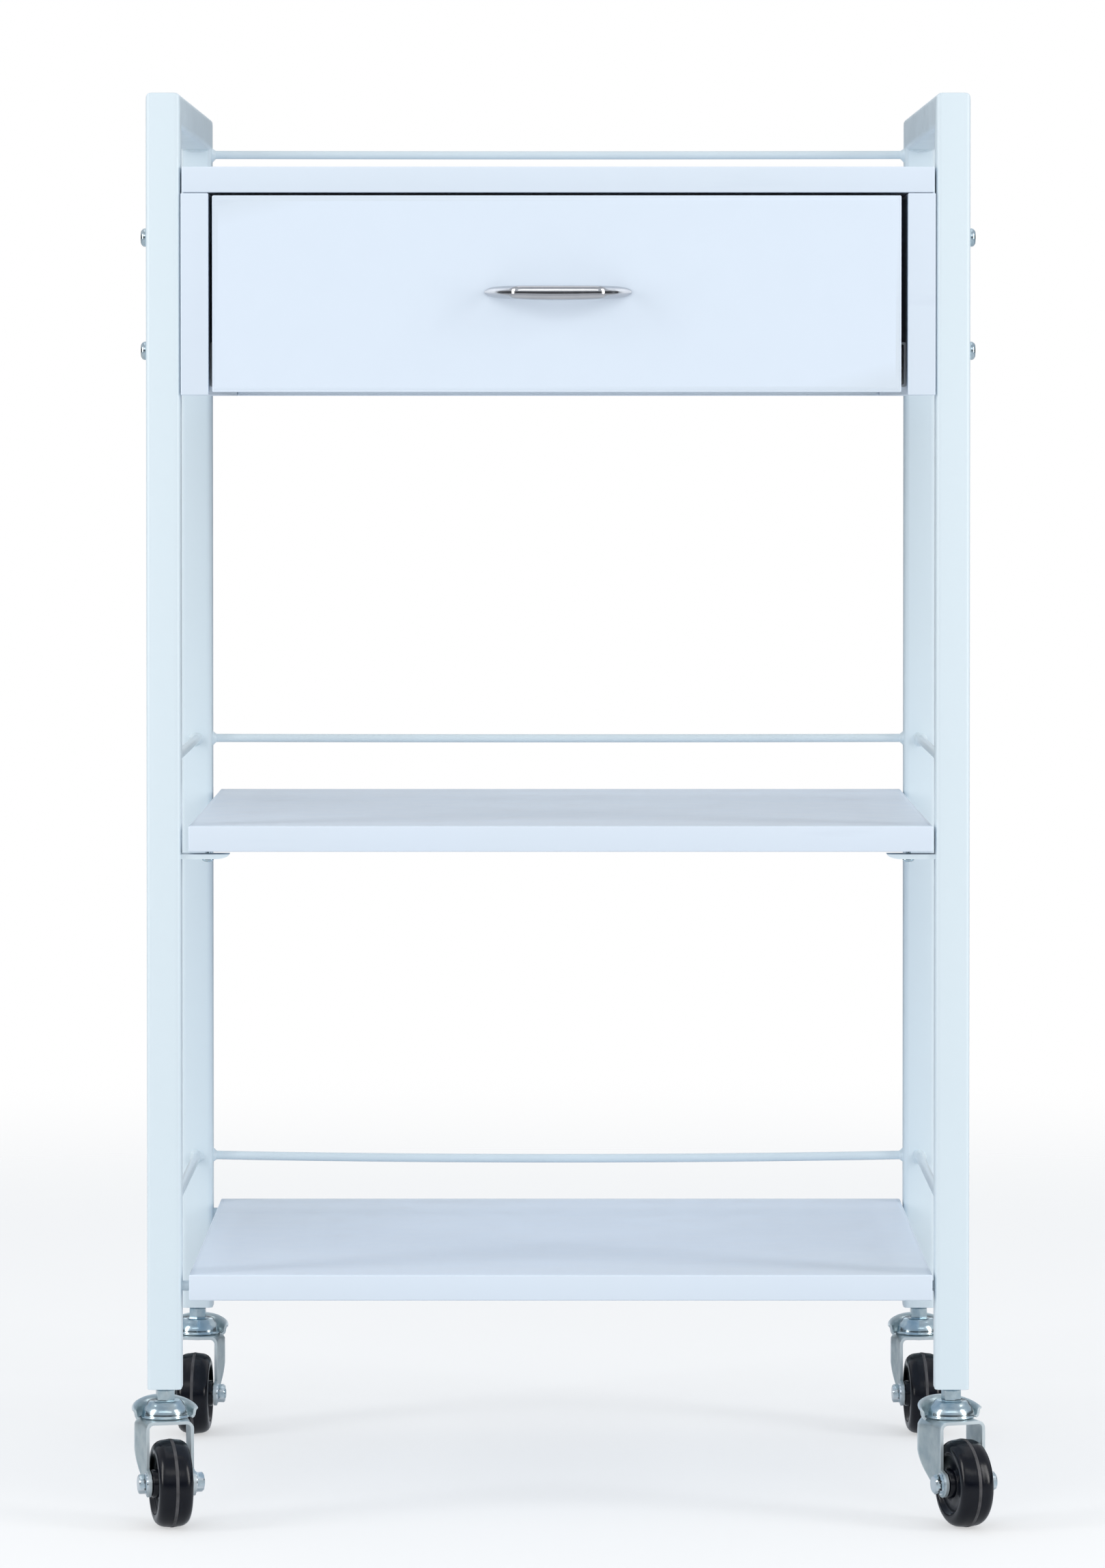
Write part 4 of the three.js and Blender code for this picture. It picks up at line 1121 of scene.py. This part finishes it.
def fork_rows(axle):
    """Rows across the folded sheet: middle (x, z), normal (x, z), and the sheet's front and back in y."""
    leg = [(Vector((-FORK_HALF, z)), Vector((-1, 0)), front, back) for z, front, back in leg_rows(axle)]
    crown = []
    turn = Vector((-FORK_HALF + FORK_BEND, CROWN_Z - FORK_BEND))
    for angle in quarter_turn(BEND_STEPS):
        normal = Vector((-math.cos(angle), math.sin(angle)))
        crown.append((turn + FORK_BEND * normal, normal))
    for k in range(1, 2 * CROWN_STEPS):
        crown.append((Vector((turn.x * (1 - k / CROWN_STEPS), CROWN_Z)), Vector((0, 1))))
    crown += [(mirrored(middle), mirrored(normal)) for middle, normal in crown[BEND_STEPS::-1]]
    rows = list(leg)
    for middle, normal in crown:
        front = FORK_FRONT - CROWN_BULGE * (1 - (middle.x / FORK_HALF) ** 2)
        rows.append((middle, normal, front, math.sqrt(CROWN_RADIUS**2 - middle.x**2)))
    for middle, normal, front, back in reversed(leg):
        rows.append((mirrored(middle), mirrored(normal), front, back))
    return rows


def sheet_grids(rows, columns):
    """Outer and inner grids of the folded sheet."""
    grids = []
    for offset in (FORK_SHEET / 2, -FORK_SHEET / 2):
        grid = []
        for middle, normal, front, back in rows:
            x, z = middle + normal * offset
            row = []
            for k in range(columns + 1):
                y = front + (back - front) * k / columns
                spread = LEG_FLARE * (y + math.hypot(y, FLARE_BEND)) / 2 * (1 - normal.y)
                row.append(Vector((x + math.copysign(spread, x), y, z)))
            grid.append(row)
        grids.append(grid)
    return grids


def hood_grids():
    """Outer and inner grids of the half bowl behind the cup, whose rim climbs to the back and rolls out."""
    outer, inner = [], []
    profile = [Vector(point) for point in HOOD_PROFILE]
    for i in range(HOOD_STEPS + 1):
        angle = math.pi * i / HOOD_STEPS
        rows = ([], [])
        for k, (radius, below) in enumerate(profile):
            climb = HOOD_RISE * radius * math.sin(angle)
            share = min(k / 4, 1)
            ahead, behind = profile[min(k + 1, len(profile) - 1)], profile[max(k - 1, 0)]
            tangent = (ahead - behind).normalized()
            for row, offset in zip(rows, (HOOD_SHEET / 2, -HOOD_SHEET / 2)):
                reach = radius + tangent.y * offset
                height = HOOD_RIM + below + climb * share - tangent.x * offset
                row.append(Vector((reach * math.cos(angle), reach * math.sin(angle), height)))
        outer.append(rows[0])
        inner.append(rows[1])
    return outer, inner


def fork(name):
    """Pressed steel fork: legs, crown and the hood round the bearing."""
    bm = bmesh.new()
    plate(bm, *sheet_grids(fork_rows(axle_point(name)), FORK_COLUMNS))
    plate(bm, *hood_grids())
    soften(bm, 0.4, 50)
    body = f"caster_{name}"
    finish_piece(f"caster_fork_{name}", bm, "zinc:sheet", body, [f"fork_{name}"], caster_place(name))


def axle(name):
    """Axle bolt with a hexagon head, a nut with the end of the thread, and a washer under each."""
    middle = axle_point(name)
    seat = FORK_HALF + FORK_SHEET / 2
    flats = AXLE_FLATS / 2
    rim, thickness = WASHER
    base = seat + thickness
    top = base + AXLE_HEAD
    bm = bmesh.new()
    for sign in (-1, 1):
        place = along((sign, 0, 0), middle)
        washer = [(AXLE_RADIUS, seat), (rim, seat), (rim, base), (AXLE_RADIUS, base)]
        lathe(bm, washer, 32, place, closed=True)
        head = [(AXLE_RADIUS, base), (flats * 0.97, base, hexagon), (flats, base + 0.4, hexagon)]
        head += [(flats, top - 0.7, hexagon), (flats * 0.96, top)]
        if sign > 0:
            head += [(radius, top + beyond) for radius, beyond in THREAD_END]
        lathe(bm, [(0, base)] + head + [(0, head[-1][1])], 36, place)
    shank = [(0, -seat), (AXLE_RADIUS, -seat), (AXLE_RADIUS, seat), (0, seat)]
    lathe(bm, shank, 24, along((1, 0, 0), middle))
    soften(bm, 0.25, 25)
    finish_piece(f"axle_{name}", bm, "zinc", f"caster_{name}", [f"axle_bolt_{name}"], caster_place(name), 30)


def wheel_profile(radius):
    """Half of a wheel's section from its hub to its tread, as (radius, distance from the middle)."""
    half = WHEEL_WIDTH / 2
    profile = [(reach, HUB_WIDTH / 2 - depth) for reach, depth in WHEEL_HUB]
    profile += [(reach, half - depth) for reach, depth in WHEEL_WEB]
    profile += [(radius - under, half - depth) for under, depth in WHEEL_RIM]
    height, width = SHOULDER
    for angle in quarter_turn(8):
        reach = radius - SHOULDER_TOP - height + height * math.sin(angle)
        profile.append((reach, half - width + width * math.cos(angle)))
    return profile + [(radius - 0.3, 2.2), (radius - TREAD, SEAM + 0.2), (radius - TREAD, 0)]


def wheel(name):
    """Hard black wheel, with the mould line round the middle of its tread as a piece of its own."""
    middle = axle_point(name)
    place = along((1, 0, 0), middle)
    body = f"wheel_{name}"
    half = wheel_profile(middle.z)
    bm = bmesh.new()
    lathe(bm, half + [(radius, -across) for radius, across in half[-2::-1]], 72, place, closed=True)
    finish_piece(f"tyre_{name}", bm, "wheel", body, [f"wheel_{name}"], caster_place(name), 50)
    root, edge = middle.z - SEAM_ROOT, middle.z - SEAM_EDGE
    ridge = [(root, SEAM), (edge, 0.8 * SEAM), (middle.z, 0), (edge, -0.8 * SEAM), (root, -SEAM)]
    bm = bmesh.new()
    lathe(bm, ridge, 72, place, closed=True)
    finish_piece(f"tyre_seam_{name}", bm, "wheel:seam", body, (), caster_place(name))


# ---- everything
make_camera()
make_floor()
make_world()
make_lights()
scene.view_settings.view_transform = "Standard"
carry_over()
for level in ("top", "mid", "lower"):
    back_rod(level)
for side in SIDES:
    side_frame(side)
    frame_welds(side)
    side_rod("mid", side)
    side_rod("lower", side)
    cabinet_bolts(side)
    shelf_supports(side)
    slide_rail(side)
    drawer_rail(side)
    roller("slide", side)
    roller("drawer", side)
    drawer_side(side)
boards()
drawer()
for caster in CASTERS:
    stem(caster)
    fork(caster)
    axle(caster)
    wheel(caster)
